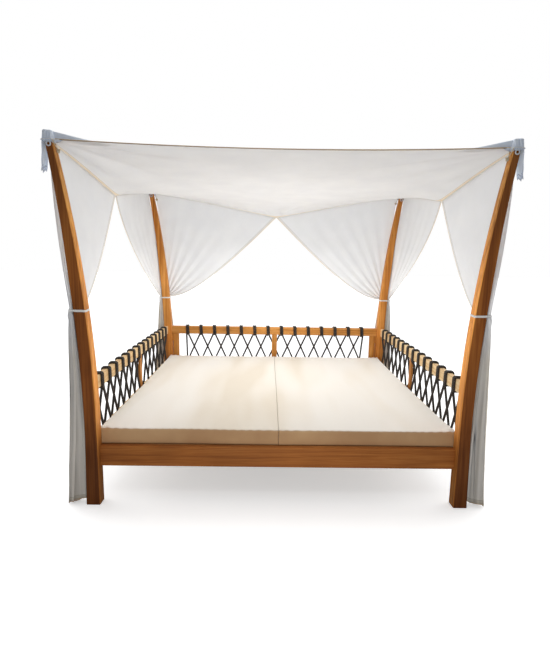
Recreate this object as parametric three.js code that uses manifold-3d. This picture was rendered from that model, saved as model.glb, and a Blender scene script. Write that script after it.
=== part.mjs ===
import * as THREE from 'three';
import { mergeVertices } from 'three/addons/utils/BufferGeometryUtils.js';
import Module from 'manifold-3d';

// An outdoor daybed: four curved posts, a slatted bed for two mattresses, three laced panels,
// and a cloth canopy with six tied curtains.
// Millimetres, +Z up, the front faces -Y, and the origin lies on the floor below the middle.

// Gaps between touching pieces
const fitGap = 0.3;
const clothGap = 0.6;
const cutOverrun = 10;

// Posts: a straight foot, then one long outward bend, thinner to the tip
const innerWidth = 2000;
const frameDepth = 2100;
const postHeight = 1988;
const postStraightHeight = 400;
const postBendRadius = 7800;
const postFootWidth = 78;
const postDepth = 70;
const postTopDepth = 45;
const postEase = 4;
const postStations = 15;
const postWidthShares = [
  [0, 1],
  [0.2, 0.872],
  [0.5, 0.846],
  [0.64, 0.82],
  [0.72, 0.744],
  [0.79, 0.667],
  [0.855, 0.615],
  [0.905, 0.56],
  [1, 0.47],
];

// Bed frame
const bedRailBottom = 218;
const bedRailHeight = 118;
const bedRailThickness = 34;
const frontRailInset = 35;
const sideRailInset = 36;
const railEase = 3;
const slatCount = 10;
const slatWidth = 100;
const slatThickness = 18;
const slatEndRoom = 2;
const slatEase = 2;
const ledgerWidth = 25;
const ledgerHeight = 25;
const beamWidth = 45;
const beamHeight = 93;
const legWidth = 60;

// Mattresses
const mattressDrop = 6;
const mattressThickness = 100;
const mattressSideRoom = 2.5;
const mattressEndRoom = 75;
const mattressCornerRadius = 60;
const mattressEdgeRound = 34;
const mattressSideDraw = 7;
const mattressCrownRise = 7;
const mattressCrownWidth = 210;
const mattressCornerLift = 14;

// Laced panels
const panelThickness = 30;
const backPanelInset = 20;
const topRailBottom = 634;
const topRailHeight = 75;
const bottomRailTop = 372;
const stileWidth = 50;
const centreStileThickness = 16;
const slitWidth = 12;
const shoulderDrop = 68;

// Lacing cord
const cordDiameter = 15;
const cordSides = 4;
const loopPitch = 131;
const cordSeat = 0.7;
const cordRoom = 1;
const cordEndGap = 0.6;

// Hoods over the post tips
const hoodWall = 8;
const hoodDrop = 43;
const hoodCap = 15;
const hoodRidgeInset = 9;

// Canopy sheet
const clothThickness = 6;
const canopyTipDrop = 26;
const canopyFrontSag = 27;
const canopySideSag = 158;
const canopyBackSag = 203;
const canopySag = 14;
const sideApexForward = 75;
const sideEdgeWaist = 34;
const sideEdgeReach = 196;
const frontEdgeInset = 12;
const backEdgeOut = 5;
const edgeSteps = 5;
const relaxRounds = 400;
const edgeBendShare = 1.15;

// Curtains
const foldCount = 2.5;
const foldSteps = 4;
const drapeSteps = 6;
const tailSteps = 3;
const foldSlopeCap = 3;
const bundleDepth = 22;
const bundleWidth = 56;
const bundleInset = 3;
const drapeBulge = 13;
const hemHeight = 3;
const sideTailSpread = 104;
const sideTailWidth = 68;
const backTailSpread = 46;
const backTailWidth = 150;
const frontTieHeight = 1100;
const backTieHeight = 985;
const apexGap = 3;
const curtainHoodGap = 2;
const frontDrapeReach = 800;
const frontDrapeDip = 950;
const backSideDrapeReach = 100;
const backSideDrapeDip = 1450;
const backDrapeReach = 800;
const backDrapeDip = 955;

// Ties
const tieHeight = 12;
const tieThickness = 2;
const tieRoom = 8;
const tieCorner = 5;

// Worked out from the sizes above
const halfWidth = innerWidth / 2;
const halfDepth = frameDepth / 2;
const mattressLength = frameDepth - 2 * mattressEndRoom;
const canopyTipHeight = postHeight - canopyTipDrop;
const postInnerY = halfDepth - postDepth;
const bedRailTop = bedRailBottom + bedRailHeight;
const mattressBottom = bedRailTop - mattressDrop;
const slatTop = mattressBottom - fitGap;
const slatBottom = slatTop - slatThickness;
const ledgerTop = slatBottom - fitGap;
const frontRailInnerY = halfDepth - frontRailInset - bedRailThickness;
const sideRailInnerX = halfWidth + sideRailInset;
const topRailTop = topRailBottom + topRailHeight;
const cordRadius = cordDiameter / 2;
const cordFlat = cordRadius * Math.cos(Math.PI / cordSides);
const bottomRailBottom = bedRailTop + cordDiameter + 2 * cordRoom;
const hoodBottom = postHeight - hoodDrop;

const wood = new THREE.MeshStandardMaterial({ color: 0xc29a63, roughness: 0.62, metalness: 0 });
const agedWood = new THREE.MeshStandardMaterial({ color: 0x8a5f3a, roughness: 0.7, metalness: 0 });
const cord = new THREE.MeshStandardMaterial({ color: 0x3b2f27, roughness: 0.9, metalness: 0 });
const cloth = new THREE.MeshStandardMaterial({ color: 0xd8d6d2, roughness: 0.95, metalness: 0 });
const ticking = new THREE.MeshStandardMaterial({ color: 0xd9c9ae, roughness: 0.92, metalness: 0 });
const tape = new THREE.MeshStandardMaterial({ color: 0xe9e4d8, roughness: 0.85, metalness: 0 });

const wasm = await Module();
wasm.setup();

const daybed = new THREE.Group();

function add(name, geometry, material) {
  const mesh = new THREE.Mesh(geometry, material.clone());
  mesh.name = name;
  daybed.add(mesh);
}

// A closed surface from points and triangles, turned so that its faces point out
function closedSurface(points, triangles) {
  let volume = 0;
  for (const [a, b, c] of triangles) {
    volume += points[a].dot(new THREE.Vector3().crossVectors(points[b], points[c])) / 6;
  }
  const faces = volume < 0 ? triangles.map(([a, b, c]) => [a, c, b]) : triangles;
  const geometry = new THREE.BufferGeometry();
  const places = points.flatMap((point) => point.toArray());
  geometry.setAttribute('position', new THREE.Float32BufferAttribute(places, 3));
  geometry.setIndex(faces.flat());
  geometry.computeVertexNormals();
  return geometry;
}

// A skin over a row of rings that have the same number of points, closed by a fan at each end
function loft(rings) {
  const count = rings[0].length;
  const triangles = [];
  for (let i = 0; i + 1 < rings.length; i += 1) {
    for (let j = 0; j < count; j += 1) {
      const a = i * count + j;
      const b = i * count + ((j + 1) % count);
      triangles.push([a, b, b + count], [a, b + count, a + count]);
    }
  }
  const last = (rings.length - 1) * count;
  for (let j = 1; j + 1 < count; j += 1) {
    triangles.push([0, j + 1, j], [last, last + j, last + j + 1]);
  }
  return closedSurface(rings.flat(), triangles);
}

// A thin solid between two grids of points that have the same number of rows and columns
function slab(front, back) {
  const rows = front.length;
  const columns = front[0].length;
  const behind = rows * columns;
  const triangles = [];
  const wall = (a, b) => triangles.push([a, b, b + behind], [a, b + behind, a + behind]);
  for (let i = 0; i + 1 < rows; i += 1) {
    for (let j = 0; j + 1 < columns; j += 1) {
      const a = i * columns + j;
      const b = a + 1;
      const c = a + columns;
      const d = c + 1;
      triangles.push([a, b, d], [a, d, c]);
      triangles.push([a + behind, d + behind, b + behind], [a + behind, c + behind, d + behind]);
    }
    wall(i * columns, (i + 1) * columns);
    wall((i + 2) * columns - 1, (i + 1) * columns - 1);
  }
  for (let j = 0; j + 1 < columns; j += 1) {
    wall(j + 1, j);
    wall((rows - 1) * columns + j, (rows - 1) * columns + j + 1);
  }
  return closedSurface([...front.flat(), ...back.flat()], triangles);
}

function mirrored(geometry, signX, signY) {
  const position = geometry.getAttribute('position');
  const points = [];
  const triangles = [];
  for (let i = 0; i < position.count; i += 1) {
    points.push(new THREE.Vector3(signX * position.getX(i), signY * position.getY(i), position.getZ(i)));
  }
  for (let i = 0; i < geometry.index.count; i += 3) {
    triangles.push([geometry.index.getX(i), geometry.index.getX(i + 1), geometry.index.getX(i + 2)]);
  }
  return closedSurface(points, triangles);
}

function toSolid(geometry) {
  const bare = geometry.clone();
  bare.deleteAttribute('normal');
  bare.deleteAttribute('uv');
  const merged = mergeVertices(bare);
  const vertProperties = new Float32Array(merged.getAttribute('position').array);
  const triVerts = new Uint32Array(merged.index.array);
  return new wasm.Manifold(new wasm.Mesh({ numProp: 3, vertProperties, triVerts }));
}

function fromSolid(solid) {
  const mesh = solid.getMesh();
  const geometry = new THREE.BufferGeometry();
  geometry.setAttribute('position', new THREE.BufferAttribute(new Float32Array(mesh.vertProperties), 3));
  geometry.setIndex(Array.from(mesh.triVerts));
  geometry.computeVertexNormals();
  return geometry;
}

// The eight corners of a rectangle with eased edges, as pairs
function easedRectangle(lowA, highA, lowB, highB, ease) {
  return [
    [lowA + ease, lowB],
    [highA - ease, lowB],
    [highA, lowB + ease],
    [highA, highB - ease],
    [highA - ease, highB],
    [lowA + ease, highB],
    [lowA, highB - ease],
    [lowA, lowB + ease],
  ];
}

// How far a post's inner face has bent outward at a height
function postBend(z) {
  const rise = Math.max(0, z - postStraightHeight);
  return postBendRadius - Math.sqrt(postBendRadius ** 2 - rise ** 2);
}

function postInner(z) {
  return halfWidth + postBend(z);
}

function postWidthAt(z) {
  const share = Math.min(1, z / postHeight);
  const upper = Math.max(1, postWidthShares.findIndex(([height]) => height >= share));
  const [lowHeight, lowWidth] = postWidthShares[upper - 1];
  const [highHeight, highWidth] = postWidthShares[upper];
  const part = (share - lowHeight) / (highHeight - lowHeight);
  return postFootWidth * THREE.MathUtils.lerp(lowWidth, highWidth, part);
}

function postOuter(z) {
  return postInner(z) + postWidthAt(z);
}

function postDepthAt(z) {
  const part = THREE.MathUtils.clamp((z - topRailTop) / (postHeight - topRailTop), 0, 1);
  return THREE.MathUtils.lerp(postDepth, postTopDepth, part);
}

// A level section through the right front post, grown on all sides
function postRing(z, grow, level) {
  const low = postInner(z) - grow;
  const high = postOuter(z) + grow;
  const back = -halfDepth + postDepthAt(z) + grow;
  const section = easedRectangle(low, high, -halfDepth - grow, back, postEase);
  return section.map(([x, y]) => new THREE.Vector3(x, y, level));
}

function postGeometry() {
  const rings = [postRing(0, 0, 0)];
  for (let i = 0; i <= postStations; i += 1) {
    const z = THREE.MathUtils.lerp(postStraightHeight, postHeight, i / postStations);
    rings.push(postRing(z, 0, z));
  }
  return loft(rings);
}

// A cloth cap with a pocket for the post tip and a ridge on top
function hoodGeometry() {
  const pocketTop = postHeight + fitGap;
  const top = pocketTop + hoodCap;
  const outside = loft([
    postRing(hoodBottom, hoodWall, hoodBottom),
    postRing(postHeight, hoodWall, pocketTop),
    postRing(postHeight, hoodWall - hoodRidgeInset, top),
  ]);
  const pocket = loft([
    postRing(hoodBottom - cutOverrun, fitGap, hoodBottom - cutOverrun),
    postRing(hoodBottom, fitGap, hoodBottom),
    postRing(postHeight, fitGap, pocketTop),
  ]);
  return fromSolid(toSolid(outside).subtract(toSolid(pocket)));
}

function addPostsAndHoods() {
  const post = postGeometry();
  const hood = hoodGeometry();
  for (const [sideName, signX] of [['left', -1], ['right', 1]]) {
    for (const [endName, signY] of [['front', 1], ['back', -1]]) {
      add(`post_${endName}_${sideName}`, mirrored(post, signX, signY), agedWood);
      add(`hood_${endName}_${sideName}`, mirrored(hood, signX, signY), cloth);
    }
  }
}

// A rail along X between two posts, with its ends cut to the bend of the posts
function crossRail(lowY, highY, lowZ, highZ) {
  const section = easedRectangle(lowY, highY, lowZ, highZ, railEase);
  const end = (sign) => section.map(([y, z]) => new THREE.Vector3(sign * (postInner(z) - fitGap), y, z));
  return loft([end(-1), end(1)]);
}

// A straight bar along Y with eased long edges
function lengthBar(lowX, highX, lowZ, highZ, lowY, highY, ease) {
  const section = easedRectangle(lowX, highX, lowZ, highZ, ease);
  const end = (y) => section.map(([x, z]) => new THREE.Vector3(x, y, z));
  return loft([end(lowY), end(highY)]);
}

function addBedFrame() {
  const outerY = frontRailInnerY + bedRailThickness;
  add('bed_rail_front', crossRail(-outerY, -frontRailInnerY, bedRailBottom, bedRailTop), agedWood);
  add('bed_rail_back', crossRail(frontRailInnerY, outerY, bedRailBottom, bedRailTop), wood);
  const reach = postInnerY - fitGap;
  const outerX = sideRailInnerX + bedRailThickness;
  const rail = lengthBar(sideRailInnerX, outerX, bedRailBottom, bedRailTop, -reach, reach, railEase);
  add('bed_rail_right', rail, wood);
  add('bed_rail_left', mirrored(rail, -1, 1), wood);

  const ledgerOuterX = sideRailInnerX - fitGap;
  const ledgerInnerX = ledgerOuterX - ledgerWidth;
  const ledgerBottom = ledgerTop - ledgerHeight;
  const ledger = lengthBar(ledgerInnerX, ledgerOuterX, ledgerBottom, ledgerTop, -reach, reach, slatEase);
  add('slat_ledger_right', ledger, wood);
  add('slat_ledger_left', mirrored(ledger, -1, 1), wood);
}

function addSlats() {
  const halfLength = sideRailInnerX - slatEndRoom;
  const reach = mattressLength / 2;
  const pitch = (2 * reach - slatWidth) / (slatCount - 1);
  for (let i = 0; i < slatCount; i += 1) {
    const lowY = -reach + i * pitch;
    const section = easedRectangle(lowY, lowY + slatWidth, slatBottom, slatTop, slatEase);
    const end = (x) => section.map(([y, z]) => new THREE.Vector3(x, y, z));
    add(`slat_${String(i + 1).padStart(2, '0')}`, loft([end(-halfLength), end(halfLength)]), wood);
  }
}

function addCentreSupport() {
  const beamBottom = ledgerTop - beamHeight;
  const beamReach = frontRailInnerY - fitGap;
  const beamSide = beamWidth / 2;
  const beam = lengthBar(-beamSide, beamSide, beamBottom, ledgerTop, -beamReach, beamReach, slatEase);
  add('centre_beam', beam, wood);
  const legTop = beamBottom - fitGap;
  const section = easedRectangle(-legWidth / 2, legWidth / 2, -legWidth / 2, legWidth / 2, railEase);
  const end = (level) => section.map(([x, y]) => new THREE.Vector3(x, y, level));
  add('centre_leg', loft([end(0), end(legTop)]), wood);
}

// The plan outline of a mattress: rounded corners, and sides drawn in between them
function mattressOutline(halfX, halfY, inset) {
  const arcSteps = 3;
  const sideSteps = 3;
  const radius = mattressCornerRadius - Math.min(inset, mattressEdgeRound) / 2;
  const cornerX = halfX - inset - radius;
  const cornerY = halfY - inset - radius;
  const corners = [[1, 1], [-1, 1], [-1, -1], [1, -1]];
  const outline = [];
  corners.forEach(([signX, signY], quarter) => {
    for (let i = 0; i <= arcSteps; i += 1) {
      const angle = (quarter + i / arcSteps) * Math.PI / 2;
      const x = signX * cornerX + radius * Math.cos(angle);
      const y = signY * cornerY + radius * Math.sin(angle);
      outline.push([x, y]);
    }
    const [nextX, nextY] = corners[(quarter + 1) % corners.length];
    for (let i = 1; i < sideSteps; i += 1) {
      const part = i / sideSteps;
      const draw = mattressSideDraw * 4 * part * (1 - part);
      const angle = (quarter + 1) * Math.PI / 2;
      const x = THREE.MathUtils.lerp(signX, nextX, part) * cornerX + (radius - draw) * Math.cos(angle);
      const y = THREE.MathUtils.lerp(signY, nextY, part) * cornerY + (radius - draw) * Math.sin(angle);
      outline.push([x, y]);
    }
  });
  return outline;
}

// A crowned pad: round edges, a rising top and fuller corners
function mattressGeometry() {
  const halfX = (halfWidth - 2 * mattressSideRoom) / 2;
  const halfY = mattressLength / 2;
  const edgeTop = mattressThickness - mattressCrownRise;
  const ring = (inset, height) => mattressOutline(halfX, halfY, inset).map(([x, y]) => {
    const corner = (Math.abs(x) / halfX) ** 4 * (Math.abs(y) / halfY) ** 6;
    const lift = mattressCornerLift * corner * (height / edgeTop);
    return new THREE.Vector3(x, y, mattressBottom + height + lift);
  });
  const rings = [ring(mattressEdgeRound, 0)];
  const roundSteps = 4;
  for (let i = 1; i <= roundSteps; i += 1) {
    const angle = Math.PI * (i / roundSteps - 1 / 2);
    const inset = mattressEdgeRound * (1 - Math.cos(angle));
    rings.push(ring(inset, edgeTop * (1 + Math.sin(angle)) / 2));
  }
  rings.push(ring(mattressEdgeRound + mattressCrownWidth / 3, edgeTop + mattressCrownRise * 2 / 3));
  rings.push(ring(mattressEdgeRound + mattressCrownWidth, edgeTop + mattressCrownRise));
  return loft(rings);
}

function addMattresses() {
  const middleX = halfWidth / 2;
  for (const [name, sign] of [['left', -1], ['right', 1]]) {
    const mattress = mattressGeometry();
    mattress.translate(sign * middleX, 0, 0);
    add(`mattress_${name}`, mattress, ticking);
  }
}

// One laced panel. Its own axes are u along the panel, w towards the bed and z up.
// span(z) is its half length at a height, and place(u, w, z) puts a point in the daybed.
const sidePanel = {
  span: () => postInnerY - fitGap,
  place: (u, w, z) => new THREE.Vector3(sideRailInnerX + panelThickness / 2 - w, u, z),
};
const backPanel = {
  span: (z) => postInner(z) - fitGap,
  place: (u, w, z) => new THREE.Vector3(u, postInnerY + backPanelInset + panelThickness / 2 - w, z),
};

function panelRail(panel, lowZ, highZ) {
  const section = easedRectangle(-panelThickness / 2, panelThickness / 2, lowZ, highZ, railEase);
  const end = (sign) => section.map(([w, z]) => panel.place(sign * panel.span(z), w, z));
  return loft([end(-1), end(1)]);
}

// The centre stile is thinner than the rails and flush inside, so the cord passes behind it
function centreStile(panel) {
  const innerW = panelThickness / 2;
  const outerW = innerW - centreStileThickness;
  const section = easedRectangle(-stileWidth / 2, stileWidth / 2, outerW, innerW, railEase);
  const end = (z) => section.map(([u, w]) => panel.place(u, w, z));
  return loft([end(bottomRailTop + fitGap), end(topRailBottom - fitGap)]);
}

// The end stile stands clear of the post by a slit, and its shoulder closes the slit at the top
function endStile(panel, sign) {
  const low = bottomRailTop + fitGap;
  const high = topRailBottom - fitGap;
  const shoulder = high - shoulderDrop;
  const outer = panel.span(low) - slitWidth;
  const inner = outer - stileWidth;
  const shape = new THREE.Shape();
  shape.moveTo(inner, low);
  shape.lineTo(outer, low);
  shape.lineTo(outer, shoulder - slitWidth / 2);
  shape.quadraticCurveTo(outer, shoulder, outer + slitWidth / 2, shoulder);
  shape.lineTo(panel.span(shoulder), shoulder);
  shape.lineTo(panel.span(high), high);
  shape.lineTo(inner, high);
  const settings = { depth: panelThickness, bevelEnabled: false, curveSegments: 4 };
  const plate = new THREE.ExtrudeGeometry(shape, settings);
  plate.deleteAttribute('normal');
  plate.deleteAttribute('uv');
  const merged = mergeVertices(plate);
  const position = merged.getAttribute('position');
  const points = [];
  for (let i = 0; i < position.count; i += 1) {
    const w = position.getZ(i) - panelThickness / 2;
    points.push(panel.place(sign * position.getX(i), w, position.getY(i)));
  }
  const triangles = [];
  for (let i = 0; i < merged.index.count; i += 3) {
    triangles.push([merged.index.getX(i), merged.index.getX(i + 1), merged.index.getX(i + 2)]);
  }
  return closedSurface(points, triangles);
}

// The route of one panel's cord as points with the direction that faces away from the wood.
// Each top loop winds twice over the rail, and each bottom loop goes once under the other rail.
// A climbing strand stays outside the panel and a falling one inside it, so they never touch.
function lacingRoute(panel) {
  const side = panelThickness / 2 + cordFlat + cordSeat;
  const low = topRailBottom - cordFlat - cordSeat;
  const high = topRailTop + cordFlat + cordSeat;
  const under = bottomRailBottom - cordFlat - cordSeat;
  const room = panel.span(bottomRailTop) - slitWidth - stileWidth - 2 * cordDiameter;
  const middle = Math.floor(room / loopPitch + 1 / 2);
  const last = 2 * middle - 1;
  const at = (k) => (k - last / 2) * loopPitch;

  // The winding climbs along the rail by one cord for each turn of four corners
  const corners = [
    [-side, low, -1, 0],
    [-side, high, -1, 1],
    [side, high, 1, 1],
    [side, low, 1, -1],
    [-side, low, -1, -1],
    [-side, high, -1, 1],
    [side, high, 1, 1],
    [side, low, 1, 0],
  ];
  const lead = (cordDiameter + cordRoom) / 4;
  const reach = lead * (corners.length - 1) / 2;
  const turn = (k) => corners.map((corner, i) => [at(k) + i * lead - reach, ...corner]);
  const bottom = (k) => [
    [at(k), side, bottomRailTop, 1, 0],
    [at(k), side, under, 1, -1],
    [at(k), -side, under, -1, -1],
    [at(k), -side, bottomRailTop, -1, 0],
  ];
  const reverse = (points) => points.slice().reverse();

  // Behind the centre stile the falling strand bears on its back, and the climbing one passes outside it
  const start = at(middle - 1) + reach;
  const stileEdge = stileWidth / 2 + cordRadius;
  const behindStile = panelThickness / 2 - centreStileThickness - cordRadius - cordSeat;
  const crossing = behindStile - cordDiameter - cordSeat;
  const fallen = (u) => THREE.MathUtils.lerp(low, bottomRailTop, (u - start) / (at(middle) - start));
  const behind = [-stileEdge, stileEdge].map((u) => [u, behindStile, fallen(u), 1, 0]);
  const fallVia = (k) => (k === middle - 1 ? behind : []);
  const climbVia = (k) => (k === middle ? [[0, crossing, fallen(0), -1, 0]] : []);

  // Out by every other loop, across at the far end, and back by the loops between
  const route = [[at(0), -cordEndGap / 2, under, 0, -1], ...bottom(0).slice(2)];
  for (let k = 1; k <= last; k += 1) {
    route.push(...(k % 2 ? [...climbVia(k), ...turn(k)] : [...fallVia(k - 1), ...bottom(k)]));
  }
  route.push(...reverse(last % 2 ? bottom(last) : turn(last)));
  for (let k = last - 1; k > 0; k -= 1) {
    const next = k % 2 ? [...bottom(k), ...climbVia(k + 1)] : [...turn(k), ...fallVia(k)];
    route.push(...reverse(next));
  }
  route.push(...reverse(turn(0)), ...bottom(0).slice(0, 2), [at(0), cordEndGap / 2, under, 0, -1]);
  return route;
}

// The spokes of one mitred ring, as vectors from the cord's centre, with a flat side towards the wood
function ringSpokes(before, after, outward) {
  const ahead = before.clone().add(after).normalize();
  const bend = after.clone().sub(before);
  const stretch = 1 / ahead.dot(after) - 1;
  const away = outward.clone().addScaledVector(ahead, -outward.dot(ahead)).normalize();
  const along = new THREE.Vector3().crossVectors(ahead, away);
  if (bend.lengthSq() > 0) bend.normalize();
  return Array.from({ length: cordSides }, (_, j) => {
    const angle = (2 * j + 1) * Math.PI / cordSides;
    const spoke = away.clone().multiplyScalar(Math.cos(angle)).addScaledVector(along, Math.sin(angle));
    return spoke.addScaledVector(bend, stretch * spoke.dot(bend)).multiplyScalar(cordRadius);
  });
}

// Starts a ring at the spoke that lies nearest to the first spoke of the ring before it
function alignedSpokes(spokes, previous, run) {
  const flat = (spoke) => spoke.clone().addScaledVector(run, -spoke.dot(run));
  const miss = (shift) => flat(spokes[shift]).distanceTo(flat(previous[0]));
  let best = 0;
  for (let shift = 1; shift < cordSides; shift += 1) {
    if (miss(shift) < miss(best)) best = shift;
  }
  return [...spokes.slice(best), ...spokes.slice(0, best)];
}

// A tube along straight runs, with one mitred ring at each point of its route
function mitredCord(route, place) {
  const points = route.map(([u, w, z]) => new THREE.Vector3(u, w, z));
  const runs = points.slice(1).map((point, i) => point.clone().sub(points[i]).normalize());
  const rings = [];
  let previous = null;
  points.forEach((point, i) => {
    const before = runs[Math.max(0, i - 1)];
    const after = runs[Math.min(runs.length - 1, i)];
    const outward = new THREE.Vector3(0, route[i][3], route[i][4]);
    const spokes = ringSpokes(before, after, outward);
    previous = previous ? alignedSpokes(spokes, previous, before) : spokes;
    rings.push(previous.map((spoke) => {
      const vertex = point.clone().add(spoke);
      return place(vertex.x, vertex.y, vertex.z);
    }));
  });
  return loft(rings);
}

// The cord's length and the least gap between two of its stretches, measured on points
function measureCord(name, route) {
  const step = cordRadius;
  const samples = [];
  let length = 0;
  for (let i = 0; i + 1 < route.length; i += 1) {
    const from = new THREE.Vector3(...route[i].slice(0, 3));
    const to = new THREE.Vector3(...route[i + 1].slice(0, 3));
    const run = from.distanceTo(to);
    const count = Math.ceil(run / step);
    for (let j = 0; j < count; j += 1) {
      samples.push({ point: from.clone().lerp(to, j / count), at: length + run * j / count });
    }
    length += run;
  }
  let least = Infinity;
  const apart = 3 * cordDiameter;
  for (let i = 0; i < samples.length; i += 1) {
    for (let j = i + 1; j < samples.length; j += 1) {
      const between = samples[j].at - samples[i].at;
      if (Math.min(between, length - between) < apart) continue;
      least = Math.min(least, samples[i].point.distanceTo(samples[j].point));
    }
  }
  const gap = (least - cordDiameter).toFixed(2);
  console.log(`${name}: ${Math.round(length)} mm long, least gap to itself ${gap} mm`);
}

function addPanel(name, panel, stileNames, sign) {
  const put = (piece, geometry, material) => {
    add(`${name}_${piece}`, sign < 0 ? mirrored(geometry, -1, 1) : geometry, material);
  };
  put('top_rail', panelRail(panel, topRailBottom, topRailTop), wood);
  put('bottom_rail', panelRail(panel, bottomRailBottom, bottomRailTop), wood);
  put('centre_stile', centreStile(panel), wood);
  put(stileNames[1], endStile(panel, 1), wood);
  put(stileNames[0], endStile(panel, -1), wood);
  const route = lacingRoute(panel);
  put('lacing', mitredCord(route, panel.place), cord);
  measureCord(`${name}_lacing`, route);
}

function addPanels() {
  addPanel('back_panel', backPanel, ['left_stile', 'right_stile'], 1);
  addPanel('right_panel', sidePanel, ['front_stile', 'back_stile'], 1);
  addPanel('left_panel', sidePanel, ['front_stile', 'back_stile'], -1);
}

// The canopy's edges. A share of 0 is the lowest point of an edge, and 1 is at the hood.
const hoodInnerX = postInner(hoodBottom) - hoodWall;
const hoodInnerY = halfDepth - postDepthAt(hoodBottom) - hoodWall;
const cornerX = halfWidth + sideEdgeReach;
const apexY = -sideApexForward;
const frontEdgeY = -(halfDepth - frontEdgeInset);
const backEdgeY = halfDepth + backEdgeOut;

function sideShare(y) {
  return Math.min(1, y < apexY ? (apexY - y) / (apexY + hoodInnerY) : (y - apexY) / (hoodInnerY - apexY));
}

function sideEdgeX(y) {
  return cornerX - sideEdgeWaist * (1 - sideShare(y));
}

function sideEdgeZ(y) {
  return canopyTipHeight - canopySideSag * (1 - sideShare(y)) ** edgeBendShare;
}

function crossShare(x) {
  return Math.min(1, Math.abs(x) / hoodInnerX);
}

function frontEdgeZ(x) {
  return canopyTipHeight - canopyFrontSag * (1 - crossShare(x) ** 2);
}

function backEdgeZ(x) {
  return canopyTipHeight - canopyBackSag * (1 - crossShare(x)) ** edgeBendShare;
}

function evenSteps(from, to, count) {
  return Array.from({ length: count + 1 }, (_, i) => THREE.MathUtils.lerp(from, to, i / count));
}

const stationsX = [-cornerX, ...evenSteps(-hoodInnerX, hoodInnerX, 2 * edgeSteps), cornerX];
const stationsY = [
  frontEdgeY,
  ...evenSteps(-hoodInnerY, apexY, edgeSteps),
  ...evenSteps(apexY, hoodInnerY, edgeSteps).slice(1),
  backEdgeY,
];

// Height along an edge as the sheet has it, in straight stretches between its stations
function onStations(stations, heightAt, value) {
  const upper = Math.max(1, stations.findIndex((station) => station >= value));
  const part = (value - stations[upper - 1]) / (stations[upper] - stations[upper - 1]);
  return THREE.MathUtils.lerp(heightAt(stations[upper - 1]), heightAt(stations[upper]), part);
}

// The sheet hangs between its four edges like a stretched skin: each inner point settles
// at the mean height of its neighbours, the nearer ones counting more, then sags a little
function canopyHeights() {
  const lastX = stationsX.length - 1;
  const lastY = stationsY.length - 1;
  const heights = stationsY.map((y, j) => stationsX.map((x, i) => {
    if (i === 0 || i === lastX) return sideEdgeZ(y);
    return THREE.MathUtils.lerp(frontEdgeZ(x), backEdgeZ(x), (y - frontEdgeY) / (backEdgeY - frontEdgeY));
  }));
  for (let round = 0; round < relaxRounds; round += 1) {
    for (let j = 1; j < lastY; j += 1) {
      for (let i = 1; i < lastX; i += 1) {
        const near = [
          [heights[j][i - 1], stationsX[i] - stationsX[i - 1]],
          [heights[j][i + 1], stationsX[i + 1] - stationsX[i]],
          [heights[j - 1][i], stationsY[j] - stationsY[j - 1]],
          [heights[j + 1][i], stationsY[j + 1] - stationsY[j]],
        ];
        const weights = near.reduce((sum, [, distance]) => sum + 1 / distance, 0);
        heights[j][i] = near.reduce((sum, [height, distance]) => sum + height / distance, 0) / weights;
      }
    }
  }
  return heights.map((row, j) => row.map((height, i) => {
    const acrossX = 1 - (stationsX[i] / cornerX) ** 2;
    const acrossY = 1 - (2 * (stationsY[j] - frontEdgeY) / (backEdgeY - frontEdgeY) - 1) ** 2;
    return height - canopySag * acrossX * acrossY;
  }));
}

// The sheet's corners are cut to fit round the four hoods
function addCanopy() {
  const heights = canopyHeights();
  const face = (side) => stationsY.map((y, j) => stationsX.map((x, i) => {
    const narrowed = x * sideEdgeX(y) / cornerX;
    return new THREE.Vector3(narrowed, y, heights[j][i] + side * clothThickness / 2);
  }));
  const grow = hoodWall + clothGap;
  const hoodRoom = loft([
    postRing(hoodBottom, grow, hoodBottom - cutOverrun),
    postRing(hoodBottom, grow, hoodBottom),
    postRing(postHeight, grow, postHeight + fitGap),
    postRing(postHeight, grow, postHeight + hoodCap + cutOverrun),
  ]);
  let sheet = toSolid(slab(face(1), face(-1)));
  for (const [signX, signY] of [[1, 1], [-1, 1], [1, -1], [-1, -1]]) {
    sheet = sheet.subtract(toSolid(mirrored(hoodRoom, signX, signY)));
  }
  add('canopy_sheet', fromSolid(sheet), cloth);
}

function bezier(from, control, to, t) {
  return (1 - t) ** 2 * from + 2 * t * (1 - t) * control + t ** 2 * to;
}

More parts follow.
